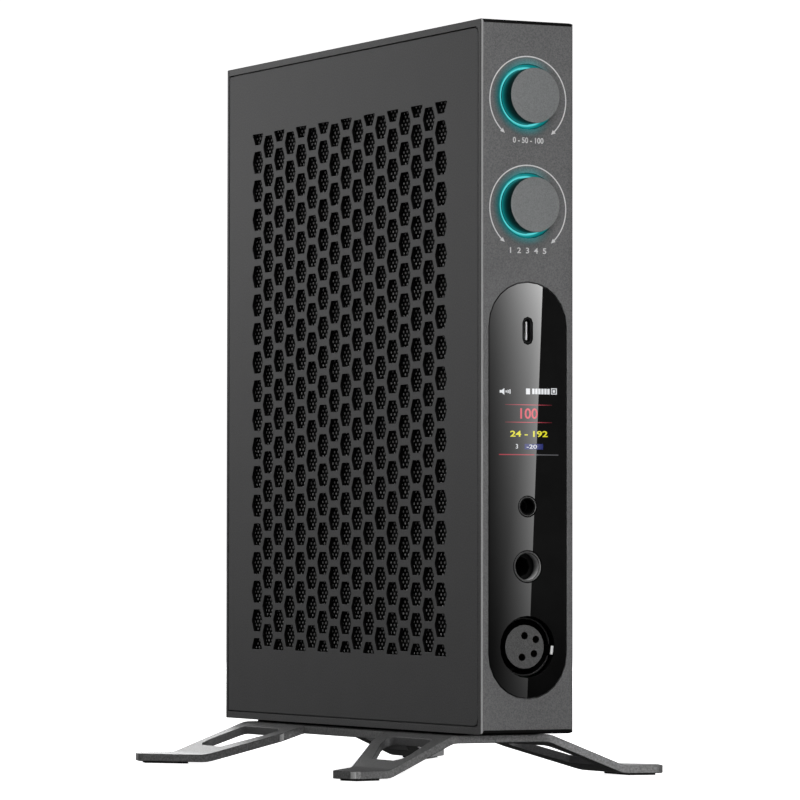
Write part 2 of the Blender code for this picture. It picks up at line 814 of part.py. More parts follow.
def knob(name, axis):
    """Turned knob with a thin skirt and a boss that grips the shaft."""
    boss = ROTOR_BORE + KNOB_BOSS_WALL
    turned(
        f"{name}_knob",
        [
            (0, KNOB_REACH),
            (KNOB_RADIUS - KNOB_CHAMFER, KNOB_REACH),
            (KNOB_RADIUS, KNOB_REACH - KNOB_CHAMFER),
            (KNOB_RADIUS, -KNOB_SKIRT),
            (KNOB_RADIUS - KNOB_WALL, -KNOB_SKIRT),
            (KNOB_RADIUS - KNOB_WALL, KNOB_CEILING),
            (boss, KNOB_CEILING),
            (boss, -KNOB_SKIRT),
            (ROTOR_BORE, -KNOB_SKIRT),
            (ROTOR_BORE, KNOB_CEILING),
            (0, KNOB_CEILING),
        ],
        (0, 0, 0),
        FACING_FRONT,
        KNOB_METAL,
        axis,
    )


def light_ring(name, axis):
    """Light guide round the knob, with a flange behind the front wall."""
    flange = -FRONT_WALL - FIT_GAP
    end = flange - RING_FLANGE_THICK
    turned(
        f"{name}_light_ring",
        [
            (RING_BORE, -LENS_SINK),
            (RING_RADIUS, -LENS_SINK),
            (RING_RADIUS, flange),
            (RING_RADIUS + RING_FLANGE, flange),
            (RING_RADIUS + RING_FLANGE, end),
            (RING_BORE, end),
        ],
        (0, 0, 0),
        FACING_FRONT,
        LIGHT_GUIDE,
        axis,
        ring=True,
    )


def encoder(name, axis):
    """Rotary encoder: housing on the front board, hollow rotor, and the shaft that slides in the rotor."""
    height = axis.location.z
    case_top = FRONT_WALL + ENCODER_BEHIND_WALL
    half = ENCODER_SIDE / 2
    case = box(
        f"{name}_encoder_housing",
        (-half, FRONT + case_top, height - half),
        (half, FRONT - ENCODER_END, height + half),
        BRIGHT_METAL,
    )
    place_on_axis = (0, FRONT, height)
    bushing = rod(
        f"{name}_bushing",
        BUSHING_RADIUS,
        ENCODER_BORE_END,
        BUSHING_TOP,
        place_on_axis,
        FACING_FRONT,
        steps=SMALL_STEPS,
    )
    bore = rod(
        f"{name}_encoder_bore",
        ENCODER_BORE,
        ENCODER_BORE_END,
        KNOB_REACH,
        place_on_axis,
        FACING_FRONT,
        steps=SMALL_STEPS,
    )
    join(case, bushing)
    cut(case, bore)
    rotor_end = ENCODER_BORE_END + FIT_GAP
    turned(
        f"{name}_encoder_rotor",
        [
            (ROTOR_BORE, BUSHING_TOP),
            (ROTOR_RADIUS, BUSHING_TOP),
            (ROTOR_RADIUS, rotor_end),
            (ROTOR_BORE, rotor_end),
        ],
        (0, 0, 0),
        FACING_FRONT,
        BRIGHT_METAL,
        axis,
        steps=SMALL_STEPS,
        ring=True,
    )
    shaft_top = KNOB_CEILING - FIT_GAP
    shaft_end = rotor_end + KNOB_PRESS + FIT_GAP
    turned(
        f"{name}_shaft",
        [(0, shaft_top), (SHAFT_RADIUS, shaft_top), (SHAFT_RADIUS, shaft_end), (0, shaft_end)],
        (0, 0, 0),
        FACING_FRONT,
        BRIGHT_METAL,
        axis,
        steps=SMALL_STEPS,
    )


def usb_socket(name, mouth, back, height, on_main_board):
    """Upright reversible socket: a drawn shell, and a tongue whose base fills the shell's back."""
    inward = 1 if back > mouth else -1
    inner_width = USB_SHELL_WIDTH - 2 * USB_SHELL_WALL
    inner_length = USB_SHELL_LENGTH - 2 * USB_SHELL_WALL
    steps = SMALL_STEPS // 2
    middle = (mouth + back) / 2
    shell = plate(
        f"{name}_shell",
        [
            slot(0, 0, USB_SHELL_WIDTH, USB_SHELL_LENGTH, steps),
            slot(0, 0, inner_width, inner_length, steps),
        ],
        abs(back - mouth),
        (0, middle, height),
        FACING_FRONT,
        BRIGHT_METAL,
    )
    if on_main_board:
        start, end = sorted((middle, back))
        half = inner_length / 4
        tab = box(
            f"{name}_tab",
            ((USB_SHELL_WIDTH - USB_SHELL_WALL) / 2, start, height - half),
            (SEAT_FACE, end + FIT_GAP, height + half),
        )
        join(shell, tab)
    base_face = back - inward * USB_BASE_DEPTH
    base = plate(
        f"{name}_tongue",
        [slot(0, 0, inner_width - 2 * FIT_GAP, inner_length - 2 * FIT_GAP, steps)],
        USB_BASE_DEPTH,
        (0, (back + base_face) / 2, height),
        FACING_FRONT,
        BLACK_PLASTIC,
    )
    half = inner_length / 2 - USB_TONGUE_MARGIN
    start, end = sorted((base_face + inward * USB_BASE_DEPTH / 2, mouth + inward * USB_TONGUE_SINK))
    blade = box(
        f"{name}_blade",
        (-USB_TONGUE_THICK / 2, start, height - half),
        (USB_TONGUE_THICK / 2, end, height + half),
    )
    join(base, blade)


def jack(name, height, radius, bore, sleeve, plug_bore):
    """A headphone socket: a turned sleeve in the insert, and its body on the amplifier board."""
    turned(
        f"{name}_jack_ferrule",
        [(bore, -LENS_SINK), (radius, -LENS_SINK), (radius, -sleeve), (bore, -sleeve)],
        (0, FRONT, height),
        FACING_FRONT,
        BRIGHT_METAL,
        steps=SOCKET_STEPS,
        ring=True,
    )
    half = radius + JACK_WALL / 2
    body = box(
        f"{name}_jack_body",
        (-half, FRONT + sleeve + FIT_GAP, height - half),
        (SEAT_FACE, FRONT + JACK_DEPTH, height + half),
        BLACK_PLASTIC,
    )
    hole = rod(
        f"{name}_plug_bore",
        plug_bore,
        JACK_WALL - JACK_DEPTH,
        JACK_DEPTH,
        (0, FRONT, height),
        FACING_FRONT,
        steps=SMALL_STEPS,
    )
    cut(body, hole)


def latch_block(name, width, height, front, back, look=None):
    """A block beside the round socket's bore, turned with the socket; front and back are depths."""
    block = box(
        name,
        (-width / 2, -(back - front) / 2, -height / 2),
        (width / 2, (back - front) / 2, height / 2),
        look,
        rounded=lambda start, end: max(start.y, end.y) < 0,
        radius=LATCH_ROUND,
    )
    block.location = (
        LATCH_OUT * math.cos(LATCH_TURN),
        FRONT + (front + back) / 2,
        XLR_Z + LATCH_OUT * math.sin(LATCH_TURN),
    )
    block.rotation_euler = (0, -LATCH_TURN, 0)
    return block


def xlr_socket():
    """Four-contact round socket: shell on the board, contact insert inside it, and the push latch."""
    axis = (0, FRONT, XLR_Z)
    top = -XLR_SHELL_SINK
    shell = rod("xlr_shell", XLR_SHELL_RADIUS, -XLR_DEPTH, top, axis, FACING_FRONT, BLACK_PLASTIC)
    base = box(
        "xlr_base",
        (0, FRONT + XLR_DEPTH - XLR_BASE_THICK, XLR_Z - XLR_SHELL_BORE / 2),
        (SEAT_FACE, FRONT + XLR_DEPTH - FIT_GAP, XLR_Z + XLR_SHELL_BORE / 2),
    )
    hollow = rod("xlr_hollow", XLR_SHELL_BORE, -2 * XLR_DEPTH, XLR_DEPTH, axis, FACING_FRONT)
    slit = latch_block(
        "latch_slit",
        LATCH_WIDTH + 2 * XLR_SHELL_INSET + 2 * XLR_SHELL_WALL,
        LATCH_HEIGHT + 2 * FIT_GAP,
        -LATCH_DEPTH,
        LATCH_DEPTH + LATCH_PRESS + FIT_GAP,
    )
    join(shell, base)
    cut(shell, hollow, slit)
    flange = XLR_SHELL_BORE - FIT_GAP
    flange_top = XLR_BASE_THICK - XLR_DEPTH
    insert = turned(
        "xlr_insert",
        [
            (0, -XLR_INSERT_SINK),
            (XLR_INSERT_RADIUS, -XLR_INSERT_SINK),
            (XLR_INSERT_RADIUS, flange_top),
            (flange, flange_top),
            (flange, -XLR_DEPTH),
            (0, -XLR_DEPTH),
        ],
        axis,
        FACING_FRONT,
        GREY_PLASTIC,
    )
    for index, (across, up) in enumerate(XLR_PIN_PLACES, 1):
        hole = rod(
            f"xlr_contact_{index}",
            XLR_PIN_RADIUS,
            -XLR_INSERT_SINK - XLR_PIN_DEPTH,
            XLR_PIN_DEPTH,
            (across, FRONT, XLR_Z + up),
            FACING_FRONT,
            steps=SMALL_STEPS,
        )
        cut(insert, hole)
    latch_block("xlr_latch", LATCH_WIDTH, LATCH_HEIGHT, LATCH_SINK, LATCH_DEPTH, BRIGHT_METAL)


AMP_BOARD_TOP = BALANCED_Z + BALANCED_RADIUS + JACK_WALL / 2 + AMP_BOARD_MARGIN
AMP_BOARD_BOTTOM = BOTTOM + SHELL_WALL + FIT_GAP
BLOCK_REACH = SCREW_FROM_END + SCREW_BLOCK + FIT_GAP


def boards():
    """Amplifier board behind the headphone sockets and main board behind it, both on the base rails."""
    back = BOARD_FACE + BOARD_THICK
    box(
        "amp_board",
        (BOARD_FACE, AMP_START, AMP_BOARD_BOTTOM),
        (back, AMP_END, AMP_BOARD_TOP),
        CIRCUIT_BOARD,
    )
    box(
        "main_board",
        (BOARD_FACE, MAIN_START, BOTTOM + BLOCK_REACH),
        (back, MAIN_END, TOP - BLOCK_REACH),
        CIRCUIT_BOARD,
    )


def heat_sink():
    """Extruded comb of fins on the amplifier board, open towards the vents."""
    root = SEAT_FACE - SINK_BASE
    tip = root - FIN_HEIGHT
    end = AMP_END - SINK_MARGIN
    start = end - (FIN_COUNT - 1) * FIN_PITCH - FIN_THICK
    comb = [(SEAT_FACE, start)]
    for fin in range(FIN_COUNT):
        near = start + fin * FIN_PITCH
        far = near + FIN_THICK
        comb += [(root, near), (tip, near), (tip, far), (root, far)]
    comb = comb[:1] + comb[2:-1] + [(SEAT_FACE, end)]
    middle = (AMP_BOARD_BOTTOM + AMP_BOARD_TOP) / 2
    plate("heat_sink", [comb], SINK_LENGTH, (0, 0, middle), (0, 0, 0), ALUMINIUM)


def main_board_modules():
    """Screened ladder modules, the power module and its capacitors, on the main board."""
    middle = (MAIN_START + MAIN_END) / 2
    for name, z in (("left", CENTRE + MODULE_SPREAD), ("right", CENTRE - MODULE_SPREAD)):
        box(
            f"ladder_module_{name}",
            (SEAT_FACE - MODULE_THICK, middle - MODULE_DEPTH / 2, z - MODULE_HEIGHT / 2),
            (SEAT_FACE, middle + MODULE_DEPTH / 2, z + MODULE_HEIGHT / 2),
            BRIGHT_METAL,
            rounded=lambda start, end: max(start.x, end.x) < 0,
            radius=MODULE_ROUND,
        )
    height = CENTRE - POWER_FROM_MIDDLE
    front = middle - POWER_DEPTH / 2
    box(
        "power_module",
        (SEAT_FACE - POWER_THICK, front, height - POWER_HEIGHT / 2),
        (SEAT_FACE, middle + POWER_DEPTH / 2, height + POWER_HEIGHT / 2),
        BLACK_PLASTIC,
        rounded=lambda start, end: max(start.x, end.x) < 0,
        radius=MODULE_ROUND,
    )
    for name, side in (("upper", 1), ("lower", -1)):
        turned(
            f"capacitor_{name}",
            [
                (0, CAPACITOR_HEIGHT),
                (CAPACITOR_RADIUS - CAPACITOR_RIM, CAPACITOR_HEIGHT),
                (CAPACITOR_RADIUS, CAPACITOR_HEIGHT - CAPACITOR_RIM),
                (CAPACITOR_RADIUS, 0),
                (0, 0),
            ],
            (
                SEAT_FACE,
                front - CAPACITOR_GAP - CAPACITOR_RADIUS,
                height + side * CAPACITOR_SPACING / 2,
            ),
            TOWARDS_LEFT,
            BLACK_PLASTIC,
            steps=SMALL_STEPS,
        )


def ribbon_cable():
    """Flat cable from the back of the front board to the face of the main board."""
    start = FRONT_BOARD_FACE + BOARD_THICK + FIT_GAP
    landing = SEAT_FACE - RIBBON_THICK
    line = [
        (RIBBON_OUT, start),
        (RIBBON_OUT, start + RIBBON_LEAD),
        (landing, MAIN_START),
        (landing, MAIN_START + RIBBON_LANDING),
    ]
    outline = strip(line, RIBBON_THICK)
    plate("ribbon_cable", [outline], RIBBON_WIDTH, (0, 0, MENU_AXIS), (0, 0, 0), GREY_PLASTIC)


def rear_socket(name, height, side, depth, nose, bore, look):
    """A socket behind the rear panel: a body on the main board, a nose through the panel, and a bore."""
    body = box(
        name,
        (-side / 2, SHELL_END - depth, height - side / 2),
        (SEAT_FACE, SHELL_END, height + side / 2),
        look,
    )
    join(body, nose)
    cut(body, bore)
    return body


def phono_socket(name, height):
    """Round coaxial socket with a turned barrel that stands out of the panel."""
    seat = (0, REAR, height)
    nose = rod(
        f"{name}_barrel",
        PHONO_RADIUS,
        -2 * REAR_PANEL_THICK,
        PLUG_REACH,
        seat,
        FACING_REAR,
        steps=SOCKET_STEPS,
    )
    bore = rod(
        f"{name}_bore",
        PHONO_BORE,
        PLUG_REACH - PHONO_BORE_DEPTH,
        2 * PLUG_REACH,
        seat,
        FACING_REAR,
        steps=SMALL_STEPS,
    )
    rear_socket(name, height, PHONO_BODY, PHONO_BODY_DEPTH, nose, bore, GOLD)
    return round_hole(f"{name}_hole", PHONO_RADIUS, 0, height)


def optical_socket(height):
    """Square optical socket, nearly flush with the panel."""
    half = OPTICAL_SIDE / 2
    inner = OPTICAL_BORE / 2
    mouth = REAR + OPTICAL_REACH
    nose = box(
        "optical_nose",
        (-half, SHELL_END - REAR_PANEL_THICK, height - half),
        (half, mouth, height + half),
    )
    bore = box(
        "optical_bore",
        (-inner, mouth - OPTICAL_BORE_DEPTH, height - inner),
        (inner, mouth + OPTICAL_BORE_DEPTH, height + inner),
    )
    body_side = OPTICAL_SIDE + 2 * REAR_PANEL_THICK
    rear_socket("optical_socket", height, body_side, OPTICAL_BODY_DEPTH, nose, bore, BLACK_PLASTIC)
    half += FIT_GAP
    return box(
        "optical_hole",
        (-half, PANEL_INSIDE - REAR_PANEL_THICK, height - half),
        (half, REAR + REAR_PANEL_THICK, height + half),
    )


def dc_inlet(height):
    """Round power inlet with its centre pin."""
    seat = (0, REAR, height)
    radius = DC_BORE + DC_RIM
    floor = DC_REACH - DC_BORE_DEPTH
    back = -2 * REAR_PANEL_THICK
    nose = rod("dc_nose", radius, back, DC_REACH, seat, FACING_REAR, steps=SOCKET_STEPS)
    bore = rod("dc_bore", DC_BORE, floor, DC_BORE_DEPTH, seat, FACING_REAR, steps=SOCKET_STEPS)
    pin = rod("dc_pin", DC_PIN, floor - DC_PIN, -DC_PIN, seat, FACING_REAR, steps=SMALL_STEPS)
    body = rear_socket("dc_inlet", height, DC_BODY, DC_BODY_DEPTH, nose, bore, BLACK_PLASTIC)
    join(body, pin)
    return round_hole("dc_hole", radius, 0, height)


def round_hole(name, radius, x, height):
    """A cutter through the rear panel, one clearance larger than what passes through."""
    return rod(
        name,
        radius + FIT_GAP,
        -2 * REAR_PANEL_THICK,
        REAR_PANEL_THICK,
        (x, REAR, height),
        FACING_REAR,
        steps=SOCKET_STEPS,
    )


def rear_panel():
    """Plate that closes the back, with its sockets and four screws."""
    panel = box(
        "rear_panel",
        (LEFT, PANEL_INSIDE, BOTTOM),
        (RIGHT, REAR, TOP),
        ALUMINIUM,
        rounded=lambda start, end: min(start.y, end.y) > 0,
        radius=REAR_EDGE_RADIUS,
    )
    for name, height in zip(PHONO_NAMES, PHONO_HEIGHTS):
        cut(panel, phono_socket(name, height))
    cut(panel, optical_socket(OPTICAL_Z), dc_inlet(DC_Z))
    mouth = REAR + REAR_USB_REACH
    usb_socket("rear_usb", mouth, mouth - REAR_USB_DEPTH, REAR_USB_Z, on_main_board=True)
    usb_hole = plate(
        "rear_usb_hole",
        [slot(0, 0, USB_SHELL_WIDTH + 2 * FIT_GAP, USB_SHELL_LENGTH + 2 * FIT_GAP, SMALL_STEPS // 2)],
        4 * REAR_PANEL_THICK,
        (0, REAR, REAR_USB_Z),
        FACING_REAR,
    )
    cut(panel, usb_hole)
    for index, (x, z) in enumerate(REAR_SCREWS, 1):
        cut(panel, round_hole(f"rear_screw_hole_{index}", SCREW_RADIUS, x, z))
        turned(
            f"rear_screw_{index}",
            [
                (0, TOUCH_GAP + SCREW_HEAD_THICK),
                (SCREW_RADIUS, TOUCH_GAP + SCREW_HEAD_THICK),
                (SCREW_HEAD, TOUCH_GAP + SCREW_HEAD_THICK / 3),
                (SCREW_HEAD, TOUCH_GAP),
                (SCREW_RADIUS, TOUCH_GAP),
                (SCREW_RADIUS, -SCREW_DEPTH),
                (0, -SCREW_DEPTH),
            ],
            (x, REAR, z),
            FACING_REAR,
            BLACK_PLASTIC,
            steps=SMALL_STEPS,
        )


FOOT_HEEL = (FOOT_HEEL_OUT, FOOT_HEEL_END)
FOOT_TIP = (FOOT_TIP_OUT, FOOT_TIP_END)
LEG_KINK = (LEG_KINK_OUT, LEG_KINK_END)
LEG_ROOT = (PLATE_HALF_WIDTH, LEG_ROOT_END)
PLATE_CORNER = (PLATE_HALF_WIDTH, PLATE_HALF_LENGTH)


def height_on(start, end, out):
    """How far along Y the line between two plan points is, at a distance out from the middle."""
    return start[1] + (end[1] - start[1]) * (out - start[0]) / (end[0] - start[0])


def heel_edge(out):
    """The leg's edge towards the middle of the stand: kinked near the plate, then straight."""
    start, end = (LEG_ROOT, LEG_KINK) if out < LEG_KINK_OUT else (LEG_KINK, FOOT_HEEL)
    return height_on(start, end, out)


def tip_edge(out):
    """The leg's edge towards the stand's end."""
    return height_on(PLATE_CORNER, FOOT_TIP, out)


def mirrored(loop):
    """The four copies of a plan outline, one for each leg."""
    return [[(x * side, y * end) for x, y in loop] for side in (1, -1) for end in (1, -1)]


def stand_outline():
    """Plan of the flat plate and its four splayed legs."""
    quarter = [
        (*LEG_ROOT, 0),
        (*LEG_KINK, KINK_CORNER),
        (*FOOT_HEEL, FOOT_CORNER),
        (*FOOT_TIP, FOOT_CORNER),
        (*PLATE_CORNER, 0),
    ]
    half = quarter + [(-x, y, radius) for x, y, radius in reversed(quarter)]
    whole = half + [(x, -y, radius) for x, y, radius in reversed(half)]
    return rounded_loop([point[:2] for point in whole], [point[2] for point in whole])


def stand_window():
    """Rounded opening in one leg, between the plate and the foot's bend."""
    inner = PLATE_HALF_WIDTH + WINDOW_FROM_PLATE
    outer = FOOT_BEND - WINDOW_FROM_BEND
    corners = [
        (inner, heel_edge(inner) + WINDOW_HEEL_WEB),
        (outer, heel_edge(outer) + WINDOW_HEEL_WEB),
        (outer, tip_edge(outer) - WINDOW_TIP_WEB_OUTER),
        (inner, tip_edge(inner) - WINDOW_TIP_WEB),
    ]
    return rounded_loop(corners, WINDOW_CORNER)


def screw_holes():
    radius = STAND_SCREW_RADIUS + FIT_GAP
    return [circle(0, y - MIDDLE, radius, SMALL_STEPS) for name, y in STAND_SCREWS]


def stand_bracket():
    """Bent sheet: the section of plate, slopes and feet, trimmed to the stand's plan."""
    foot_top = FOOT_BOTTOM + STAND_THICK
    beyond = FOOT_HEEL_OUT + STAND_THICK
    line = [
        (-beyond, foot_top),
        (-FOOT_BEND, foot_top),
        (-PLATE_HALF_WIDTH, PLATE_TOP),
        (PLATE_HALF_WIDTH, PLATE_TOP),
        (FOOT_BEND, foot_top),
        (beyond, foot_top),
    ]
    radii = [0] + [BEND_RADIUS] * (len(line) - 2) + [0]
    bracket = plate(
        "stand_bracket",
        [rounded_loop(strip(line, STAND_THICK), radii + radii)],
        2 * (FOOT_TIP_END + STAND_THICK),
        (0, MIDDLE, 0),
        FACING_FRONT,
        STAND_STEEL,
    )
    plan = plate(
        "stand_plan",
        [stand_outline()] + mirrored(stand_window()) + screw_holes(),
        4 * PLATE_TOP,
        (0, MIDDLE, PLATE_TOP / 2),
        (0, 0, 0),
    )
    intersect(bracket, plan)
    reach = STAND_SCREW_HEAD - STAND_SCREW_RADIUS + FIT_GAP
    for name, y in STAND_SCREWS:
        sink = rod(
            f"{name}_countersink",
            STAND_SCREW_HEAD + 2 * FIT_GAP,
            -FIT_GAP,
            reach,
            (0, y, PLATE_TOP - STAND_THICK),
            (0, 0, 0),
            steps=SMALL_STEPS,
            end_radius=STAND_SCREW_RADIUS,
        )
        cut(bracket, sink)


def stand_pads():
    """Thin rubber under each foot, inside its outline."""
    foot = [(FOOT_BEND, heel_edge(FOOT_BEND)), FOOT_HEEL, FOOT_TIP, (FOOT_BEND, tip_edge(FOOT_BEND))]
    pad = rounded_loop(inset(foot, PAD_MARGIN), PAD_CORNER)
    for index, loop in enumerate(mirrored(pad), 1):
        plate(f"stand_pad_{index}", [loop], PAD_THICK, (0, MIDDLE, PAD_THICK / 2), (0, 0, 0), RUBBER)


def stand_fixing():
    """Rubber sheet between the plate and the case, and the two flush screws from below."""
    width = CASE_WIDTH - 2 * GASKET_INSET
    length = 2 * (PLATE_HALF_LENGTH - GASKET_INSET)
    plate(
        "stand_gasket",
        [rectangle(0, 0, width, length)] + screw_holes(),
        GASKET_THICK,
        (0, MIDDLE, PLATE_TOP + TOUCH_GAP + GASKET_THICK / 2),
        (0, 0, 0),
        RUBBER,
    )
    floor = PLATE_TOP - STAND_THICK + TOUCH_GAP
    for name, y in STAND_SCREWS:
        turned(
            f"stand_screw_{name}",
            [
                (0, BOTTOM + STAND_SCREW_DEPTH),
                (STAND_SCREW_RADIUS, BOTTOM + STAND_SCREW_DEPTH),
                (STAND_SCREW_RADIUS, floor + STAND_SCREW_HEAD - STAND_SCREW_RADIUS),
                (STAND_SCREW_HEAD, floor),
                (STAND_SCREW_SOCKET, floor),
                (STAND_SCREW_SOCKET, floor + STAND_SCREW_SOCKET_DEPTH),
                (0, floor + STAND_SCREW_SOCKET_DEPTH),
            ],
            (0, y, 0),
            (0, 0, 0),
            BLACK_PLASTIC,
            steps=SMALL_STEPS,
        )


main_shell()
side_cover()
dust_mesh()
rear_panel()
front_lens()
display_module()
front_board()
for knob_name, knob_height in (("volume", VOLUME_AXIS), ("menu", MENU_AXIS)):
    knob_axis = empty(f"{knob_name}_axis", (0, FRONT, knob_height))
    knob(knob_name, knob_axis)
    light_ring(knob_name, knob_axis)
    encoder(knob_name, knob_axis)
usb_socket("front_usb", FRONT + USB_SINK, FRONT_BOARD_FACE - FIT_GAP, USB_Z, on_main_board=False)
jack("balanced", BALANCED_Z, BALANCED_RADIUS, BALANCED_BORE, BALANCED_SLEEVE, BALANCED_PLUG_BORE)
jack("headphone", HEADPHONE_Z, HEADPHONE_RADIUS, HEADPHONE_BORE, HEADPHONE_SLEEVE, HEADPHONE_PLUG_BORE)
xlr_socket()
boards()
heat_sink()
main_board_modules()
ribbon_cable()
stand_bracket()
stand_pads()
stand_fixing()
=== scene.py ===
"""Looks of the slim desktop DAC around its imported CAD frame: finishes, fine pieces, light and camera."""

import math

import bmesh
import bpy
from mathutils import Matrix, Vector


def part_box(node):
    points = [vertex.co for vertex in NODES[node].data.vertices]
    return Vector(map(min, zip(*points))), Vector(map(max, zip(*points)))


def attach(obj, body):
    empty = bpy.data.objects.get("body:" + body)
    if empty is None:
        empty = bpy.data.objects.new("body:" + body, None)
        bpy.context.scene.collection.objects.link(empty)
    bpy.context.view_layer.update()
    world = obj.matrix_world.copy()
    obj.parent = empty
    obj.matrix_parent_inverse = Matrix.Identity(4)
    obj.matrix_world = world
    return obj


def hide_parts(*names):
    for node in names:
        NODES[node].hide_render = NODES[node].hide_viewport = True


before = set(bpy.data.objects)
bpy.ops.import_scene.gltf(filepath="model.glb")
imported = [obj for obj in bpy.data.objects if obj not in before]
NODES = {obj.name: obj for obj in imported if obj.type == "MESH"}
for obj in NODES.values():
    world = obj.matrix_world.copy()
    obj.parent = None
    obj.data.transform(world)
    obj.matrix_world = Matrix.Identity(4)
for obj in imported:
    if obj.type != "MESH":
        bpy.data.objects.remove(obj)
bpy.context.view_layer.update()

MM = 0.001
WELD = 0.001 * MM
TOUCH = 0.01 * MM
FLAT_ANGLE = math.radians(0.3)

# Places of the CAD, read from its own nodes
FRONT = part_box("main_shell")[0].y
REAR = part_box("rear_panel")[1].y
LENS_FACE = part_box("front_lens")[0].y
INSERT_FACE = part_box("xlr_insert")[0].y


def height_of(node):
    """The height of a node's middle."""
    low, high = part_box(node)
    return (low.z + high.z) / 2


KNOB_Z = {"volume": height_of("volume_knob"), "menu": height_of("menu_knob")}

# The camera of the photograph
CAMERA_PLACE = Vector((-0.80951, -1.59308, 0.07528))
CAMERA_RIGHT = Vector((0.89057428, -0.45483621, 0.0012144))
CAMERA_UP = Vector((-0.0157625, -0.02819458, 0.99947817))
CAMERA_AHEAD = Vector((0.45456462, 0.89012869, 0.03227872))
SENSOR = 36.0
FOCAL_PIXELS = 4939.1
IMAGE_SIDE = 800

# ---------------------------------------------------------------- materials

SPECULAR, MATT = 0.5, 0.05
PATCH = 20 * MM
FINE_SHARE, SLOW_SHARE = 0.85, 0.15
COLOUR_SPAN = 0.34, 0.66
ROUGHNESS_SPAN = 0.3, 0.7
RELIEF_DEPTH = 0.3
BLACK = (0, 0, 0)


def new_material(name):
    material = bpy.data.materials.new(name)
    material.use_nodes = True
    return material, *opened(material)


def opened(material):
    """A material's node tree and its shader."""
    tree = material.node_tree
    return tree, tree.nodes["Principled BSDF"]


def add(tree, kind, **settings):
    node = tree.nodes.new(kind)
    for key, value in settings.items():
        setattr(node, key, value)
    return node


def wire(tree, value, socket):
    """Link a socket, or set a plain number or colour on it."""
    if hasattr(value, "links"):
        tree.links.new(value, socket)
    elif isinstance(value, tuple) and socket.type == "RGBA":
        socket.default_value = (*value, 1)
    else:
        socket.default_value = value


def coords(tree, kind="Object"):
    return add(tree, "ShaderNodeTexCoord").outputs[kind]


def noise(tree, size, detail=2.0, rough=0.5):
    """A noise whose grains are about size metres across; gives its value."""
    node = add(tree, "ShaderNodeTexNoise")
    node.inputs["Scale"].default_value = 1 / size
    node.inputs["Detail"].default_value = detail
    node.inputs["Roughness"].default_value = rough
    tree.links.new(coords(tree), node.inputs["Vector"])
    return node.outputs["Fac"]


def ramp(tree, value, low, high, start, end):
    """A value from low..high mapped to start..end, clamped."""
    node = add(tree, "ShaderNodeMapRange", clamp=True)
    for key, number in zip(("From Min", "From Max", "To Min", "To Max"), (low, high, start, end)):
        node.inputs[key].default_value = number
    tree.links.new(value, node.inputs["Value"])
    return node.outputs["Result"]


def maths(tree, kind, first, second=0.0):
    node = add(tree, "ShaderNodeMath", operation=kind)
    wire(tree, first, node.inputs[0])
    wire(tree, second, node.inputs[1])
    return node.outputs["Value"]


def times(tree, first, second):
    return maths(tree, "MULTIPLY", first, second)


def radius_of(tree, first, second):
    """The length of two parts at right angles."""
    return maths(tree, "SQRT", maths(tree, "ADD", times(tree, first, first), times(tree, second, second)))


def split(tree, vector):
    node = add(tree, "ShaderNodeSeparateXYZ")
    tree.links.new(vector, node.inputs["Vector"])
    return node.outputs["X"], node.outputs["Y"], node.outputs["Z"]


def mix(tree, factor, first, second):
    """Two colours mixed by a factor; each is a colour or a socket."""
    node = add(tree, "ShaderNodeMix", data_type="RGBA")
    tree.links.new(factor, node.inputs["Factor"])
    for name, value in (("A", first), ("B", second)):
        wire(tree, value, next(s for s in node.inputs if s.name == name and s.type == "RGBA"))
    return next(s for s in node.outputs if s.type == "RGBA")


def tone(colour):
    """A colour; a plain number is a grey."""
    return colour if isinstance(colour, tuple) else (colour,) * 3


def cool(level, blue=0.002):
    """A grey with a trace of blue."""
    return level, level, level + blue


def grained(name, dark, light, grain, roughness, metallic=0.0, relief=0.2, specular=SPECULAR):
    """A finish with fine grain in colour, roughness and height, over slower patches."""
    material, tree, shader = new_material(name)
    fine = noise(tree, grain, detail=3.0, rough=0.6)
    slow = noise(tree, PATCH)
    both = maths(tree, "ADD", times(tree, fine, FINE_SHARE), times(tree, slow, SLOW_SHARE))
    colour = mix(tree, ramp(tree, both, *COLOUR_SPAN, 0, 1), tone(dark), tone(light))
    tree.links.new(colour, shader.inputs["Base Color"])
    tree.links.new(ramp(tree, both, *ROUGHNESS_SPAN, *roughness), shader.inputs["Roughness"])
    shader.inputs["Metallic"].default_value = metallic
    shader.inputs["Specular IOR Level"].default_value = specular
    if relief:
        bump = add(tree, "ShaderNodeBump")
        bump.inputs["Strength"].default_value = relief
        bump.inputs["Distance"].default_value = RELIEF_DEPTH * grain
        tree.links.new(fine, bump.inputs["Height"])
        tree.links.new(bump.outputs["Normal"], shader.inputs["Normal"])
    return material


def from_axis(tree, heights):
    """Distance from the nearest of the knob axes at these heights, the share of it along X, and the depth."""
    x, y, z = split(tree, coords(tree))
    nearest = None
    for height in heights:
        distance = radius_of(tree, x, maths(tree, "SUBTRACT", z, height))
        nearest = maths(tree, "MINIMUM", nearest, distance) if nearest else distance
    return nearest, maths(tree, "DIVIDE", x, nearest), y


def darken(tree, shader, factor, colour):
    """Let another base colour take over where the factor is 1."""
    base = shader.inputs["Base Color"].links[0].from_socket
    tree.links.new(mix(tree, factor, base, colour), shader.inputs["Base Color"])


def dull(tree, shader, factor, level):
    """Bring the gloss down to a level where the factor is 1."""
    tree.links.new(ramp(tree, factor, 0, 1, SPECULAR, level), shader.inputs["Specular IOR Level"])


def shine(tree, shader, factor, low, high, strength=1.0):
    """Give off light, from one colour to another as the factor goes from 0 to 1."""
    tree.links.new(mix(tree, factor, low, high), shader.inputs["Emission Color"])
    shader.inputs["Emission Strength"].default_value = strength


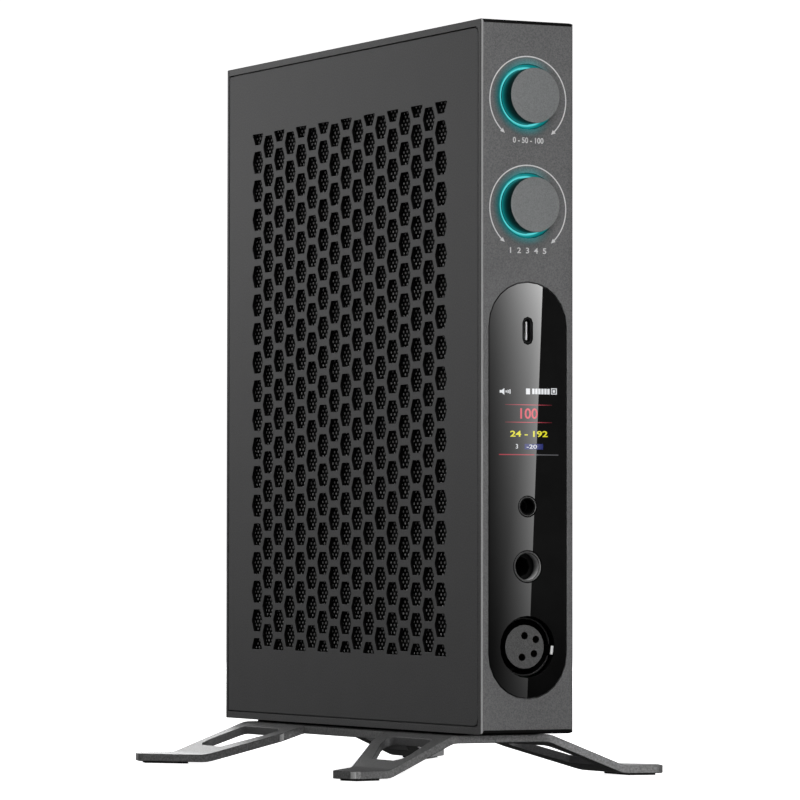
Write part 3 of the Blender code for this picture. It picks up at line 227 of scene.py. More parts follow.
GLOW_RADII = 11.3 * MM, 14.0 * MM
GLOW_DEPTHS = FRONT + 0.2 * MM, FRONT + 0.5 * MM
GLOW_FALL = 1.3
GLOW_COLOUR = (0.0, 0.155, 0.165)
# What the share along X maps to round a knob, for the painted shade and the painted glow: from, to, value at
# the first and value at the second
GLOW_SHADE = -0.95, 0.0, 0.95, 0.15
GLOW_LEFT = -1.0, -0.4, 0.75, 1.0
GLOW_RIGHT = 0.2, 0.75, 1.0, 0.0


def shell_finish():
    """Bead-blasted aluminium, with the rings' light painted on the front panel close round them as a glow,
    apart from their right, and painted shade there, strongest on their left.
    """
    material = grained("shell_aluminium_painted_glow_and_shade", cool(0.106), cool(0.197), 0.5 * MM, (0.42, 0.54), 0.35, 0.35)
    tree, shader = opened(material)
    distance, across, depth = from_axis(tree, KNOB_Z.values())
    near = times(tree, ramp(tree, distance, *GLOW_RADII, 1, 0), ramp(tree, depth, *GLOW_DEPTHS, 1, 0))
    # Painted shade round the rings, strongest on their left, then a painted glow of their light
    darken(tree, shader, times(tree, near, ramp(tree, across, *GLOW_SHADE)), BLACK)
    dull(tree, shader, near, MATT)
    glow = times(tree, maths(tree, "POWER", near, GLOW_FALL), ramp(tree, across, *GLOW_LEFT))
    shine(tree, shader, times(tree, glow, ramp(tree, across, *GLOW_RIGHT)), BLACK, GLOW_COLOUR)
    return material


KNOB_RADIUS = 9.5 * MM
KNOB_SIDE = KNOB_RADIUS - 0.12 * MM, KNOB_RADIUS - 0.02 * MM
KNOB_LIT = FRONT - 4.6 * MM, FRONT + 1.5 * MM
KNOB_FALL = 3.3
KNOB_BLACK = 0.008
KNOB_DIM, KNOB_BRIGHT = (0.001, 0.006, 0.006), (0.0, 0.21, 0.215)


def knob_finish(name, height):
    """Bead-blasted face, black side, and the ring's light painted as a glow on the root of the side."""
    material = grained(name, cool(0.18), cool(0.262), 0.4 * MM, (0.4, 0.48), 0.35, 0.25)
    tree, shader = opened(material)
    distance, _, depth = from_axis(tree, [height])
    side = ramp(tree, distance, *KNOB_SIDE, 0, 1)
    darken(tree, shader, side, tone(KNOB_BLACK))
    dull(tree, shader, side, MATT)
    # A painted glow of the ring's light on the root of the side
    root = maths(tree, "POWER", ramp(tree, depth, *KNOB_LIT, 0, 1), KNOB_FALL)
    shine(tree, shader, times(tree, root, side), KNOB_DIM, KNOB_BRIGHT)
    return material


RING_LINE = 9.91 * MM
RING_FADE = 0.22 * MM, 0.46 * MM
RING_DIM, RING_BRIGHT = (0.0, 0.17, 0.175), (0.10, 0.62, 0.64)


def ring_finish(name, height):
    """Milky light guide: one bright line in its groove, dimmer on the slope round it."""
    material = grained(name, (0.01, 0.05, 0.05), (0.015, 0.07, 0.07), 0.5 * MM, (0.3, 0.4), relief=0.05)
    tree, shader = opened(material)
    distance, _, _ = from_axis(tree, [height])
    off_line = maths(tree, "ABSOLUTE", maths(tree, "SUBTRACT", distance, RING_LINE))
    shine(tree, shader, ramp(tree, off_line, *RING_FADE, 1, 0), RING_DIM, RING_BRIGHT)
    return material


BORE_FADE = LENS_FACE + 1.2 * MM, LENS_FACE + 4.4 * MM
BORE_SHADE = 0.004


def bore_finish():
    """The inside of a metal sleeve, bright at its mouth and darkened further in as painted shade."""
    material = grained("sleeve_bore_painted_shade", 0.74, 0.84, 0.3 * MM, (0.35, 0.45), 0.0, 0.1)
    tree, shader = opened(material)
    _, depth, _ = split(tree, coords(tree))
    inner = ramp(tree, depth, *BORE_FADE, 0, 1)
    # Painted shade deeper in the bore
    darken(tree, shader, inner, tone(BORE_SHADE))
    dull(tree, shader, inner, 0.0)
    return material


SCREEN_DOT = 0.25 * MM
DOT_DIM = 0.8
RULE_FADE = 2.0 * MM, 9.5 * MM
RULE_DIM, RULE_BRIGHT = (0.06, 0.004, 0.008), (0.5, 0.03, 0.06)


def screen_gloss(name):
    """Black under the gloss of the insert; what is lit on the screen starts from it."""
    return grained(name, 0.003, 0.005, 0.2 * MM, (0.02, 0.04), relief=0)


def lit(name, colour, strength):
    """A lit part of the screen, with the faint grain of its dots."""
    material = screen_gloss(name)
    tree, shader = opened(material)
    shine(tree, shader, noise(tree, SCREEN_DOT), tuple(DOT_DIM * c for c in colour), colour, strength)
    return material


def rule_light():
    """The screen's fine red rules, brightest in their middle."""
    material = screen_gloss("screen_rule")
    tree, shader = opened(material)
    x, _, _ = split(tree, coords(tree))
    fade = ramp(tree, maths(tree, "ABSOLUTE", x), *RULE_FADE, 1, 0)
    shine(tree, shader, fade, RULE_DIM, RULE_BRIGHT)
    return material


# Name, dark and light colour, grain, range of roughness, then metallic, relief and specular level
FINISH = {
    "shell": shell_finish(),
    # A pale finish that is a painted highlight on the case's left front edge and on the stand's left front
    # roundings
    "edge": grained("edge_painted_highlight", 0.68, 0.78, 0.4 * MM, (0.44, 0.52), 0.5, 0.1),
    "cover": grained("cover_aluminium", cool(0.104), cool(0.170), 0.5 * MM, (0.46, 0.56), 0.2, 0.2),
    # Deep black for black parts, and painted shade on walls, hollows and edges that lie in shade
    "shade": grained("deep_black_and_painted_shade", 0.002, 0.005, 0.5 * MM, (0.6, 0.7), 0, 0.1, 0.1),
    "rear": grained("rear_aluminium", cool(0.10), cool(0.14), 0.5 * MM, (0.44, 0.54), 0.35, 0.25),
    "stand": grained(
        "stand_coating", cool(0.085, 0.001), cool(0.175, 0.001), 0.7 * MM, (0.42, 0.54), 0.4, 0.5
    ),
    "stand_edge": grained(
        "stand_edge", cool(0.155, 0.001), cool(0.32, 0.001), 0.7 * MM, (0.42, 0.54), 0.4, 0.5
    ),
    "lens": grained("gloss_black", 0.003, 0.005, 9 * MM, (0.001, 0.004), relief=0),
    "bright": grained("bright_steel", 0.50, 0.62, 0.3 * MM, (0.16, 0.26), 1.0, 0.08),
    "lip": grained("sleeve_lip", 0.10, 0.15, 0.3 * MM, (0.4, 0.5), 0.5, 0.1),
    "dull_lip": grained("dull_lip", 0.04, 0.06, 0.3 * MM, (0.4, 0.5), 0.5, 0.1),
    "bore": bore_finish(),
    # A near white that is a painted highlight on the front of the XLR latch
    "latch": grained("latch_painted_highlight", 0.88, 0.95, 0.3 * MM, (0.3, 0.4), 0.1, 0.05),
    "tin": grained("tin_plating", 0.66, 0.80, 0.3 * MM, (0.3, 0.4), 0.3, 0.05),
    "gold": grained(
        "gold_plating", (0.72, 0.50, 0.17), (0.86, 0.62, 0.24), 0.4 * MM, (0.16, 0.26), 1.0, 0.08
    ),
    "black": grained("moulded_black", 0.008, 0.016, 0.35 * MM, (0.42, 0.58)),
    "grey": grained("moulded_grey", 0.048, 0.122, 0.35 * MM, (0.5, 0.65), relief=0.4),
    "oxide": grained("black_oxide", cool(0.015, 0.001), cool(0.035, 0.001), 0.3 * MM, (0.3, 0.42), 0.6, 0.15),
    "rubber": grained("soft_rubber", 0.010, 0.022, 0.4 * MM, (0.75, 0.9), relief=0.4),
    "board": grained(
        "board_lacquer", (0.008, 0.045, 0.022), (0.02, 0.09, 0.045), 1.2 * MM, (0.3, 0.5), relief=0.3
    ),
    "mesh": grained("mesh_black", 0.002, 0.005, 0.4 * MM, (0.6, 0.8), specular=0.1),
    # Pale knots, their colour a painted highlight
    "knot": grained("mesh_knot_painted_highlight", 0.46, 0.86, 0.4 * MM, (0.35, 0.5), relief=0.1),
    "print": grained("white_print", 0.66, 0.80, 0.25 * MM, (0.5, 0.65), relief=0.1),
    "red": grained("red_insulator", (0.35, 0.012, 0.012), (0.45, 0.02, 0.02), 0.4 * MM, (0.35, 0.5)),
    "white": grained("white_insulator", (0.60, 0.60, 0.58), (0.70, 0.70, 0.68), 0.4 * MM, (0.35, 0.5)),
    "lit_white": lit("screen_white", (0.85, 0.87, 0.90), 0.95),
    "lit_rule": rule_light(),
    "lit_red": lit("screen_red", (0.75, 0.04, 0.08), 0.55),
    "lit_pink": lit("screen_pink", (0.92, 0.08, 0.13), 0.8),
    "lit_yellow": lit("screen_yellow", (0.88, 0.84, 0.02), 0.95),
    "lit_blue": lit("screen_blue", (0.03, 0.05, 0.40), 0.4),
    "lit_grey": lit("screen_grey", (0.25, 0.25, 0.27), 0.4),
}
for which, height in KNOB_Z.items():
    FINISH[which + "_knob"] = knob_finish(which + "_knob_metal", height)
    FINISH[which + "_ring"] = ring_finish(which + "_ring_light", height)

# ------------------------------------------------------------ making pieces

PRINT_THICK = 0.02 * MM
# Edges sharper than these angles, in degrees, are eased, or stay sharp in the shading
EASED_ANGLE, STAND_EASED_ANGLE = 35, 60
DRESSED_ANGLE, LENS_ANGLE, TURNED_ANGLE, BLOCK_ANGLE = 50, 15, 30, 40


def put(name, mesh, looks, body="case", stands_for=()):
    """Add a mesh as a piece of the object, with its finishes and the body that it rides on."""
    obj = bpy.data.objects.new(name, mesh)
    bpy.context.scene.collection.objects.link(obj)
    for look in [looks] if isinstance(looks, str) else looks:
        mesh.materials.append(FINISH[look])
    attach(obj, body)
    if stands_for:
        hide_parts(*stands_for)
    return obj


def mesh_of(name, bm, angle=None):
    """A mesh from a bmesh; with an angle its curves are smooth and its sharper edges stay sharp."""
    bmesh.ops.recalc_face_normals(bm, faces=bm.faces)
    mesh = bpy.data.meshes.new(name)
    bm.to_mesh(mesh)
    bm.free()
    if angle:
        mesh.shade_smooth()
        mesh.set_sharp_from_angle(angle=math.radians(angle))
    return mesh


def mesh_from_curve(curve):
    """The mesh that a curve or a text makes; the curve itself goes."""
    name = curve.name
    holder = bpy.data.objects.new(name + "_curve", curve)
    bpy.context.scene.collection.objects.link(holder)
    bpy.context.view_layer.update()
    mesh = bpy.data.meshes.new_from_object(holder.evaluated_get(bpy.context.evaluated_depsgraph_get()))
    bpy.data.objects.remove(holder)
    bpy.data.curves.remove(curve)
    mesh.name = name
    return mesh


def even_normals(obj):
    obj.modifiers.new("even_normals", "WEIGHTED_NORMAL").keep_sharp = True


def join_flats(bm):
    """Let faces that lie in one plane be one face."""
    bmesh.ops.dissolve_limit(bm, angle_limit=FLAT_ANGLE, verts=bm.verts, edges=bm.edges)


def welded(node):
    """A CAD node's shape as a bmesh of whole faces."""
    bm = bmesh.new()
    bm.from_mesh(NODES[node].data)
    bmesh.ops.remove_doubles(bm, verts=bm.verts, dist=WELD)
    join_flats(bm)
    return bm


def ease(bm, width, angle=EASED_ANGLE):
    """Bevel the sharp outer edges."""
    sharp = [
        e for e in bm.edges
        if len(e.link_faces) == 2 and e.is_convex and e.calc_face_angle() > math.radians(angle)
    ]
    bmesh.ops.bevel(bm, geom=sharp, offset=width, segments=2, profile=0.5, affect="EDGES", clamp_overlap=True)


def dressed(node, looks, width, body="case", paint=None, smooth=DRESSED_ANGLE, shape=None):
    """A CAD node's own shape with its outer edges eased; paint gives a face's finish number."""
    bm = welded(node)
    if shape:
        shape(bm)
    ease(bm, width)
    if paint:
        bm.normal_update()
        for face in bm.faces:
            face.material_index = paint(face)
    even_normals(put(node + "_dressed", mesh_of(node + "_dressed", bm, smooth), looks, body, [node]))


def turned(
    name, profile, centre, looks, body="case", stands_for=(),
    rear=False, loop=False, steps=96, paint=(),
):
    """A turned piece about a Y axis: (radius, depth) points in mm, depth measured inwards from its face.

    Paint gives the finish number of each part of the profile, where it isn't the first finish.
    """
    bm = bmesh.new()
    inwards = -MM if rear else MM
    rings = []
    for radius, depth in profile:
        y = centre[1] + inwards * depth
        turns = [2 * math.pi * i / steps for i in range(steps if radius else 1)]
        rings.append([
            bm.verts.new((centre[0] + radius * MM * math.cos(a), y, centre[2] + radius * MM * math.sin(a)))
            for a in turns
        ])
    for part, (first, second) in enumerate(zip(rings, rings[1:] + rings[:1] if loop else rings[1:])):
        for i in range(steps):
            j = i + 1
            near, far = ([ring[k % len(ring)] for k in (i, j)] for ring in (first, second))
            face = bm.faces.new(dict.fromkeys([*near, *reversed(far)]))
            face.material_index = paint[part] if part < len(paint) else 0
    even_normals(put(name, mesh_of(name, bm, TURNED_ANGLE), looks, body, stands_for))


def block(bm, low, high, width):
    """Add a block with eased edges between two corners, in metres."""
    made = bmesh.ops.create_cube(bm, size=1.0)["verts"]
    low, high = Vector(low), Vector(high)
    bmesh.ops.scale(bm, vec=high - low, verts=made)
    bmesh.ops.translate(bm, vec=(low + high) / 2, verts=made)
    edges = list(dict.fromkeys(e for v in made for e in v.link_edges))
    bmesh.ops.bevel(bm, geom=edges, offset=width, segments=2, profile=0.5, affect="EDGES")


def printed(name, outlines, look, face):
    """Flat print or light on a forward face: a thin closed plate for each outline of (x, z) points in mm."""
    bm = bmesh.new()
    for outline in outlines:
        back, top = (
            [bm.verts.new((x * MM, y, z * MM)) for x, z in outline] for y in (face, face - PRINT_THICK)
        )
        bm.faces.new(back)
        bm.faces.new(reversed(top))
        for i, j in zip(range(len(back)), [*range(1, len(back)), 0]):
            bm.faces.new((back[i], top[i], top[j], back[j]))
    put(name, mesh_of(name, bm), look)


def lettered(name, text, size, x, z, look, face, width=None, rear=False, layers=1, bold=0.02):
    """Plain figures or signs, centred on (x, z) in mm, as a thin plate on a face."""
    thick = layers * PRINT_THICK
    curve = bpy.data.curves.new(name, "FONT")
    curve.body = text
    curve.size = size
    curve.extrude = thick / MM / 2
    curve.offset = bold
    curve.resolution_u = 4
    mesh = mesh_from_curve(curve)
    xs, ys = [v.co.x for v in mesh.vertices], [v.co.y for v in mesh.vertices]
    middle = Vector(((min(xs) + max(xs)) / 2, (min(ys) + max(ys)) / 2, 0))
    stretch = width / (max(xs) - min(xs)) if width else 1.0
    turn = Matrix.Rotation(math.pi / 2, 4, "X")
    out = -thick / 2
    if rear:
        turn = Matrix.Rotation(math.pi, 4, "Z") @ turn
        out = thick / 2
    place = Matrix.Translation((x * MM, face + out, z * MM))
    size_down = Matrix.Diagonal((stretch * MM, MM, MM, 1))
    mesh.transform(place @ turn @ size_down @ Matrix.Translation(-middle))
    put(name, mesh, look)


# -------------------------------------------------------------------- case

# The middle of the left front rounding, measured from the left and from the front, becomes a flat pale line,
# a painted highlight
LINE_PLACE = 0.2 * MM, 0.4 * MM
LINE_HALF_WIDTH = 0.35 * MM
LINE_FACING = 0.6, 0.85
EDGE_FACING = 0.15, 0.995
EDGE_DEPTH = 1.3 * MM
RIGHT_RADIUS = 1.3 * MM
DRAW_REACH = 1.1 * MM
DRAW_LOW, DRAW_HIGH = 1.5, 1.25


def shell_paint(face):
    """The left front edge's middle is pale as a painted highlight and the level front edges black as painted
    shade; the rest is blasted.
    """
    facing = -face.normal.y
    if not EDGE_FACING[0] < facing < EDGE_FACING[1] or face.calc_center_median().y > FRONT + EDGE_DEPTH:
        return 0
    if abs(face.normal.z) > abs(face.normal.x):
        return 2
    return 1 if LINE_FACING[0] < facing < LINE_FACING[1] and face.normal.x < 0 else 0


def long_edges(bm):
    """Flatten the left front rounding's middle, round the long right edges, draw out the level front ones."""
    left, right = (corner.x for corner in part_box("main_shell"))
    low, high = (corner.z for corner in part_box("main_shell"))

    def on_line(point):
        return all(LINE_PLACE[0] < away < LINE_PLACE[1] for away in (point.x - left, point.y - FRONT))

    def on_right(point):
        return point.x > right - TOUCH and min(point.z - low, high - point.z) < TOUCH

    middle = [e for e in bm.edges if all(on_line(v.co) for v in e.verts)]
    bmesh.ops.bevel(bm, geom=middle, offset=LINE_HALF_WIDTH, segments=1, affect="EDGES")
    corner = [
        e for e in bm.edges
        if all(on_right(v.co) for v in e.verts) and len({round(v.co.z / MM, 2) for v in e.verts}) == 1
    ]
    bmesh.ops.bevel(bm, geom=corner, offset=RIGHT_RADIUS, segments=4, profile=0.5, affect="EDGES")
    for vert in bm.verts:
        if vert.co.y < FRONT + DRAW_REACH:
            if vert.co.z < low + DRAW_REACH:
                vert.co.z = low + DRAW_LOW * (vert.co.z - low)
            elif vert.co.z > high - DRAW_REACH:
                vert.co.z = high - DRAW_HIGH * (high - vert.co.z)


dressed(
    "main_shell", ["shell", "edge", "shade"], 0.1 * MM, paint=shell_paint, shape=long_edges
)
dressed("rear_panel", "rear", 0.15 * MM)

VENT_CORNER = 0.5 * MM
VENT_SIDE_CORNER = 1.6 * MM
VENT_STEPS = 3
VENT_BARREL = 1.16
HALF_ANGLE_KEPT = math.radians(80)
MOST_OF_SIDE = 0.4
COVER_EASE = 0.1 * MM
COVER_MARGIN = 6 * MM


def outlines_of(node):
    """The closed outlines, as (y, z) points, of a node's face towards -X."""
    bm = welded(node)
    bm.normal_update()
    onward = {}
    for edge in bm.edges:
        if sum(face.normal.x < -0.9 for face in edge.link_faces) == 1:
            a, b = edge.verts
            onward.setdefault(a, []).append(b)
            onward.setdefault(b, []).append(a)
    loops = []
    while onward:
        start = next(iter(onward))
        loop, vert, before = [], start, None
        while vert in onward:
            loop.append((vert.co.y, vert.co.z))
            ahead = onward.pop(vert)
            vert, before = next((v for v in ahead if v != before and v in onward), start), vert
        loops.append(loop)
    bm.free()
    return loops


def softened(loop):
    """An outline with its corners rounded where its sides leave room; whole vents are a little barrelled."""
    points = [Vector(p) for p in loop]
    radii = [VENT_CORNER] * len(points)
    if len(points) == 6:
        middle = sum(points, Vector((0, 0))) / 6
        for i, point in enumerate(points):
            if abs(point.y - middle.y) > abs(point.x - middle.x):
                point.x = middle.x + VENT_BARREL * (point.x - middle.x)
            else:
                radii[i] = VENT_SIDE_CORNER
    made = []
    for i, (corner, radius) in enumerate(zip(points, radii)):
        back, ahead = points[i - 1] - corner, points[(i + 1) % len(points)] - corner
        half = back.angle(ahead) / 2
        if half > HALF_ANGLE_KEPT:
            made.append(corner)
            continue
        room = min(radius / math.tan(half), MOST_OF_SIDE * back.length, MOST_OF_SIDE * ahead.length)
        start, end = corner + back.normalized() * room, corner + ahead.normalized() * room
        for step in range(VENT_STEPS + 1):
            t = step / VENT_STEPS
            made.append(start * (1 - t) ** 2 + corner * 2 * t * (1 - t) + end * t * t)
    return made


def vented_cover():
    """The cover again with soft corners in its vents, eased edges and vent walls black as painted shade."""
    low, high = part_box("side_cover")
    curve = bpy.data.curves.new("side_cover_vented", "CURVE")
    curve.dimensions = "2D"
    curve.fill_mode = "BOTH"
    curve.extrude = ((high.x - low.x) / 2 - COVER_EASE) / MM
    curve.bevel_depth = COVER_EASE / MM
    curve.bevel_resolution = 0
    curve.offset = -COVER_EASE / MM
    for loop in outlines_of("side_cover"):
        points = softened(loop)
        spline = curve.splines.new("POLY")
        spline.points.add(len(points) - 1)
        for point, (y, z) in zip(spline.points, points):
            point.co = (y / MM, z / MM, 0, 1)
        spline.use_cyclic_u = True
    mesh = mesh_from_curve(curve)
    to_side = Matrix(((0, 0, MM, (low.x + high.x) / 2), (MM, 0, 0, 0), (0, MM, 0, 0), (0, 0, 0, 1)))
    mesh.transform(to_side)
    bm = bmesh.new()
    bm.from_mesh(mesh)
    bmesh.ops.remove_doubles(bm, verts=bm.verts, dist=WELD)
    bm.normal_update()
    for face in bm.faces:
        place = face.calc_center_median()
        to_rim = min(place.y - low.y, high.y - place.y, place.z - low.z, high.z - place.z)
        # Vent walls away from the rim take the deep black as painted shade
        face.material_index = 1 if to_rim > COVER_MARGIN and abs(face.normal.x) < 0.5 else 0
    mesh.clear_geometry()
    bm.to_mesh(mesh)
    bm.free()
    put("side_cover_vented", mesh, ["cover", "shade"], "case", ["side_cover"])


vented_cover()

KNOT_ACROSS = 2.74 * MM
KNOT_RISE = 1.38 * MM
KNOT_RADIUS = 0.52 * MM
KNOT_SIDES = 6
KNOT_RINGS = ((1.0, 0.0), (0.75, 0.15 * MM))
KNOT_TOP = 0.22 * MM
KNOT_ROOM = 0.24 * MM


def dust_mesh():
    """A black sheet with a fine staggered lattice of raised knots behind the vents, their pale colour a
    painted highlight.
    """
    low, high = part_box("dust_mesh")
    face = low.x + KNOT_ROOM
    bm = bmesh.new()
    block(bm, (face, low.y, low.z), high, 0.04 * MM)
    put("dust_mesh_sheet", mesh_of("dust_mesh_sheet", bm), "mesh", "case", ["dust_mesh"])
    verts, faces = [], []
    rows = int((high.z - low.z - 2 * KNOT_RADIUS) / KNOT_RISE)
    columns = int((high.y - low.y - KNOT_ACROSS) / KNOT_ACROSS)
    turns = [2 * math.pi * i / KNOT_SIDES for i in range(KNOT_SIDES)]
    for row in range(rows + 1):
        for column in range(columns + 1):
            y = low.y + KNOT_RADIUS + (column + 0.5 * (row % 2)) * KNOT_ACROSS
            z = low.z + KNOT_RADIUS + row * KNOT_RISE
            base = len(verts)
            for share, lift in KNOT_RINGS:
                radius = share * KNOT_RADIUS
                verts += [(face - lift, y + radius * math.cos(a), z + radius * math.sin(a)) for a in turns]
            verts.append((face - KNOT_TOP, y, z))
            top, tip = base + KNOT_SIDES, base + 2 * KNOT_SIDES
            faces.append(tuple(base + i for i in range(KNOT_SIDES)))
            for i in range(KNOT_SIDES):
                j = (i + 1) % KNOT_SIDES
                faces += [(base + i, top + i, top + j, base + j), (top + i, tip, top + j)]
    mesh = bpy.data.meshes.new("dust_mesh_knots")
    mesh.from_pydata(verts, [], faces)
    mesh.shade_smooth()
    put("dust_mesh_knots", mesh, "knot")


dust_mesh()

# ---------------------------------------------------------- knobs and print

# Measures of print and turned profiles are in mm
ARC_RADIUS = 14.85
ARC_HALF_WIDTH = 0.21
ARC_DROP = 1.0
ARC_END = math.radians(44)
ARC_PARTS = 96
HEAD_LENGTH = 1.7
HEAD_HALF_WIDTH = 0.78
KNOB_FACE = [(0, 0), (9.3, 0), (9.44, 0.05), (9.5, 0.18)]
KNOB_SKIRT, KNOB_BORE, KNOB_WEB = KNOB_RADIUS / MM, 8.3, 1.6
RING_MOUTH = [(9.62, 1.6), (9.68, 1.5), (10.2, 1.5), (10.3, 1.45), (10.86, 0.08), (10.92, 0), (11, 0.06)]
RING_BORE, RING_SIDE, RING_FLANGE = 9.62, 11, 12.4
RING_FLANGE_THICK = 1
DIAL_SIZE, DIAL_X, DIAL_BOLD = 2.7, 0.1, 0.06


def dial_print(name, middle):
    """An open arc with an arrow head at each end; middle is its centre's height in mm."""

    def at(radius, angle):
        return radius * math.cos(angle), middle + radius * math.sin(angle)

    first, sweep = ARC_END - math.pi / 2, 2 * (math.pi - ARC_END)
    angles = [first + sweep * i / ARC_PARTS for i in range(ARC_PARTS + 1)]
    outlines = [
        [at(ARC_RADIUS + ARC_HALF_WIDTH, a) for a in angles]
        + [at(ARC_RADIUS - ARC_HALF_WIDTH, a) for a in reversed(angles)]
    ]
    for angle, way in ((angles[0], -1), (angles[-1], 1)):
        tip = at(ARC_RADIUS, angle + way * HEAD_LENGTH / ARC_RADIUS)
        outer, inner = (at(ARC_RADIUS + side * HEAD_HALF_WIDTH, angle) for side in (1, -1))
        outlines.append([outer, tip, inner])
    printed(name, outlines, "print", FRONT)


for which, height in KNOB_Z.items():
    low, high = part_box(which + "_knob")
    deep = (high.y - low.y) / MM
    turned(
        which + "_knob_turned",
        [*KNOB_FACE, (KNOB_SKIRT, deep), (KNOB_BORE, deep), (KNOB_BORE, KNOB_WEB), (0, KNOB_WEB)],
        (0, low.y, height), which + "_knob", which + "_control", [which + "_knob"],
    )
    low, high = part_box(which + "_light_ring")
    deep = (high.y - low.y) / MM
    step = deep - RING_FLANGE_THICK
    turned(
        which + "_ring_guide",
        [*RING_MOUTH, (RING_SIDE, step), (RING_FLANGE, step), (RING_FLANGE, deep), (RING_BORE, deep)],
        (0, low.y, height), which + "_ring", "case", [which + "_light_ring"], loop=True,
    )
    dial_print(which + "_dial_arc", height / MM - ARC_DROP)
for which, text, z, width in (
    ("volume", "0 - 50 - 100", 219.35, 12.0), ("menu", "1  2  3  4  5", 181.4, 14.2)
):
    lettered(which + "_dial_figures", text, DIAL_SIZE, DIAL_X, z, "print", FRONT, width=width, bold=DIAL_BOLD)

# --------------------------------------------- gloss insert and its sockets


def lens_paint(face):
    """Only the flat front is glossy; the eased edges and the cut-outs are matt black."""
    return 0 if face.normal.y < -0.99 else 1


dressed("front_lens", ["lens", "shade"], 0.12 * MM, paint=lens_paint, smooth=LENS_ANGLE)


def bar(x0, x1, z0, z1):
    return [(x0, z0), (x1, z0), (x1, z1), (x0, z1)]


SPEAKER = [(-10.9, 132.4), (-10.1, 132.4), (-9.1, 131.7), (-9.1, 134.0), (-10.1, 133.3), (-10.9, 133.3)]
WAVES = [bar(-8.6 + 0.75 * i, -8.2 + 0.75 * i, 132.5 - 0.2 * i, 133.2 + 0.2 * i) for i in range(3)]
CARD = bar(-0.66, 0.9, 132.0, 134.0)
LEVEL = [bar(1.75 + 1.18 * i, 2.68 + 1.18 * i, 132.1, 134.0) for i in range(6)]
CELL = [
    bar(9.12, 9.4, 132.1, 134.2), bar(11.1, 11.4, 132.1, 134.2), bar(9.4, 11.1, 132.1, 132.4),
    bar(9.4, 11.1, 133.9, 134.2), bar(9.75, 10.75, 132.7, 133.6),
]
for name, look, outlines in (
    ("screen_signs", "lit_white", [SPEAKER, *WAVES, CARD, *LEVEL, *CELL]),
    ("screen_rules", "lit_rule", [bar(-8.84, 9.5, 128.25, 128.5), bar(-8.84, 9.5, 122.25, 122.5)]),
    ("screen_track_done", "lit_red", [bar(-11.16, 2.6, 111.08, 111.42)]),
    ("screen_track_rest", "lit_grey", [bar(2.6, 12.0, 111.08, 111.42)]),
    ("screen_chip", "lit_blue", [bar(-1.2, 6.0, 113.1, 115.0)]),
):
    printed(name, outlines, look, LENS_FACE)
lettered("screen_figure_top", "100", 5.0, 0.5, 125.4, "lit_pink", LENS_FACE, width=6.8, bold=0.08)
lettered("screen_figure_middle", "24 - 192", 2.8, 0.5, 118.4, "lit_yellow", LENS_FACE, width=14.6, bold=0.06)
lettered("screen_figure_low", "3", 2.2, -4.2, 114.1, "lit_white", LENS_FACE)
lettered("screen_figure_chip", "-20", 1.9, 1.6, 114.05, "lit_white", LENS_FACE, width=4.0, layers=2)

TONGUE_HALF = 0.35 * MM
STRIPS, STRIP_PITCH = 12, 0.5 * MM
STRIP_START, STRIP_END = 0.5 * MM, 3.2 * MM
STRIP_HALF, STRIP_THICK, STRIP_EASE = 0.16 * MM, 0.02 * MM, 0.004 * MM


def usb_contacts(name, tongue, mouth, inwards):
    """Plated strips on both faces of a socket's tongue."""
    y0, y1 = sorted(mouth + inwards * reach for reach in (STRIP_START, STRIP_END))
    bm = bmesh.new()
    for side in (-1, 1):
        x0, x1 = sorted((side * TONGUE_HALF, side * (TONGUE_HALF + STRIP_THICK)))
        for i in range(STRIPS):
            z = height_of(tongue) + (i - (STRIPS - 1) / 2) * STRIP_PITCH
            block(bm, (x0, y0, z - STRIP_HALF), (x1, y1, z + STRIP_HALF), STRIP_EASE)
    put(name, mesh_of(name, bm), "tin")


def tongue_paint(face):
    """The ends of the tongue are plated."""
    return 1 if abs(face.normal.y) > 0.9 else 0


for place, mouth, inwards in (
    ("front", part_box("front_usb_tongue")[0].y, 1), ("rear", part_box("rear_usb_tongue")[1].y, -1)
):
    dressed(place + "_usb_shell", "oxide", 0.06 * MM)
    dressed(place + "_usb_tongue", ["black", "tin"], 0.16 * MM, paint=tongue_paint)
    usb_contacts(place + "_usb_contacts", place + "_usb_tongue", mouth, inwards)

# Finish numbers of a sleeve's rim, bore and inner lip
SLEEVE_PAINT = (0, 0, 0, 1, 1, 2, 2)
for node, bore, looks in (
    # Painted shade: the balanced sleeve's bore and inner lip are deep black
    ("balanced_jack_ferrule", 2.5, ["lip", "shade", "shade"]),
    ("headphone_jack_ferrule", 4.6, ["lip", "bore", "lip"]),
):
    low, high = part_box(node)
    outer, deep = (high.x - low.x) / MM / 2, (high.y - low.y) / MM
    turned(
        node + "_turned",
        [(outer - 0.32, 0.02), (outer - 0.12, 0), (outer, 0.12), (outer, deep), (bore, deep), (bore, 0.4),
         (bore + 0.1, 0.14)],
        (0, low.y, height_of(node)), looks, "case", [node], loop=True, paint=SLEEVE_PAINT,
    )

CONTACT_PLACES = ((0.0, 3.8), (4.4, 2.5), (3.7, -2.4), (-1.0, -3.6))
CONTACT_PROFILE = [(0.9, 0), (1.05, 0), (1.2, 0.15), (1.2, 5), (0.9, 5)]
CONTACT_DEPTH = 4.5 * MM
INSERT_SKIN = 0.2 * MM


def xlr_rim_paint(face):
    """The eased front rim is dull metal."""
    return 1 if 0.2 < -face.normal.y < 0.95 else 0


def insert_paint(face):
    """The face is grey; the contact holes and the side are black as painted shade."""
    return 0 if face.normal.y < -0.6 and face.calc_center_median().y < INSERT_FACE + INSERT_SKIN else 1


def latch_paint(face):
    """The front of the latch is near white as a painted highlight; its sides are black as painted shade."""
    return 0 if face.normal.y < -0.3 else 1


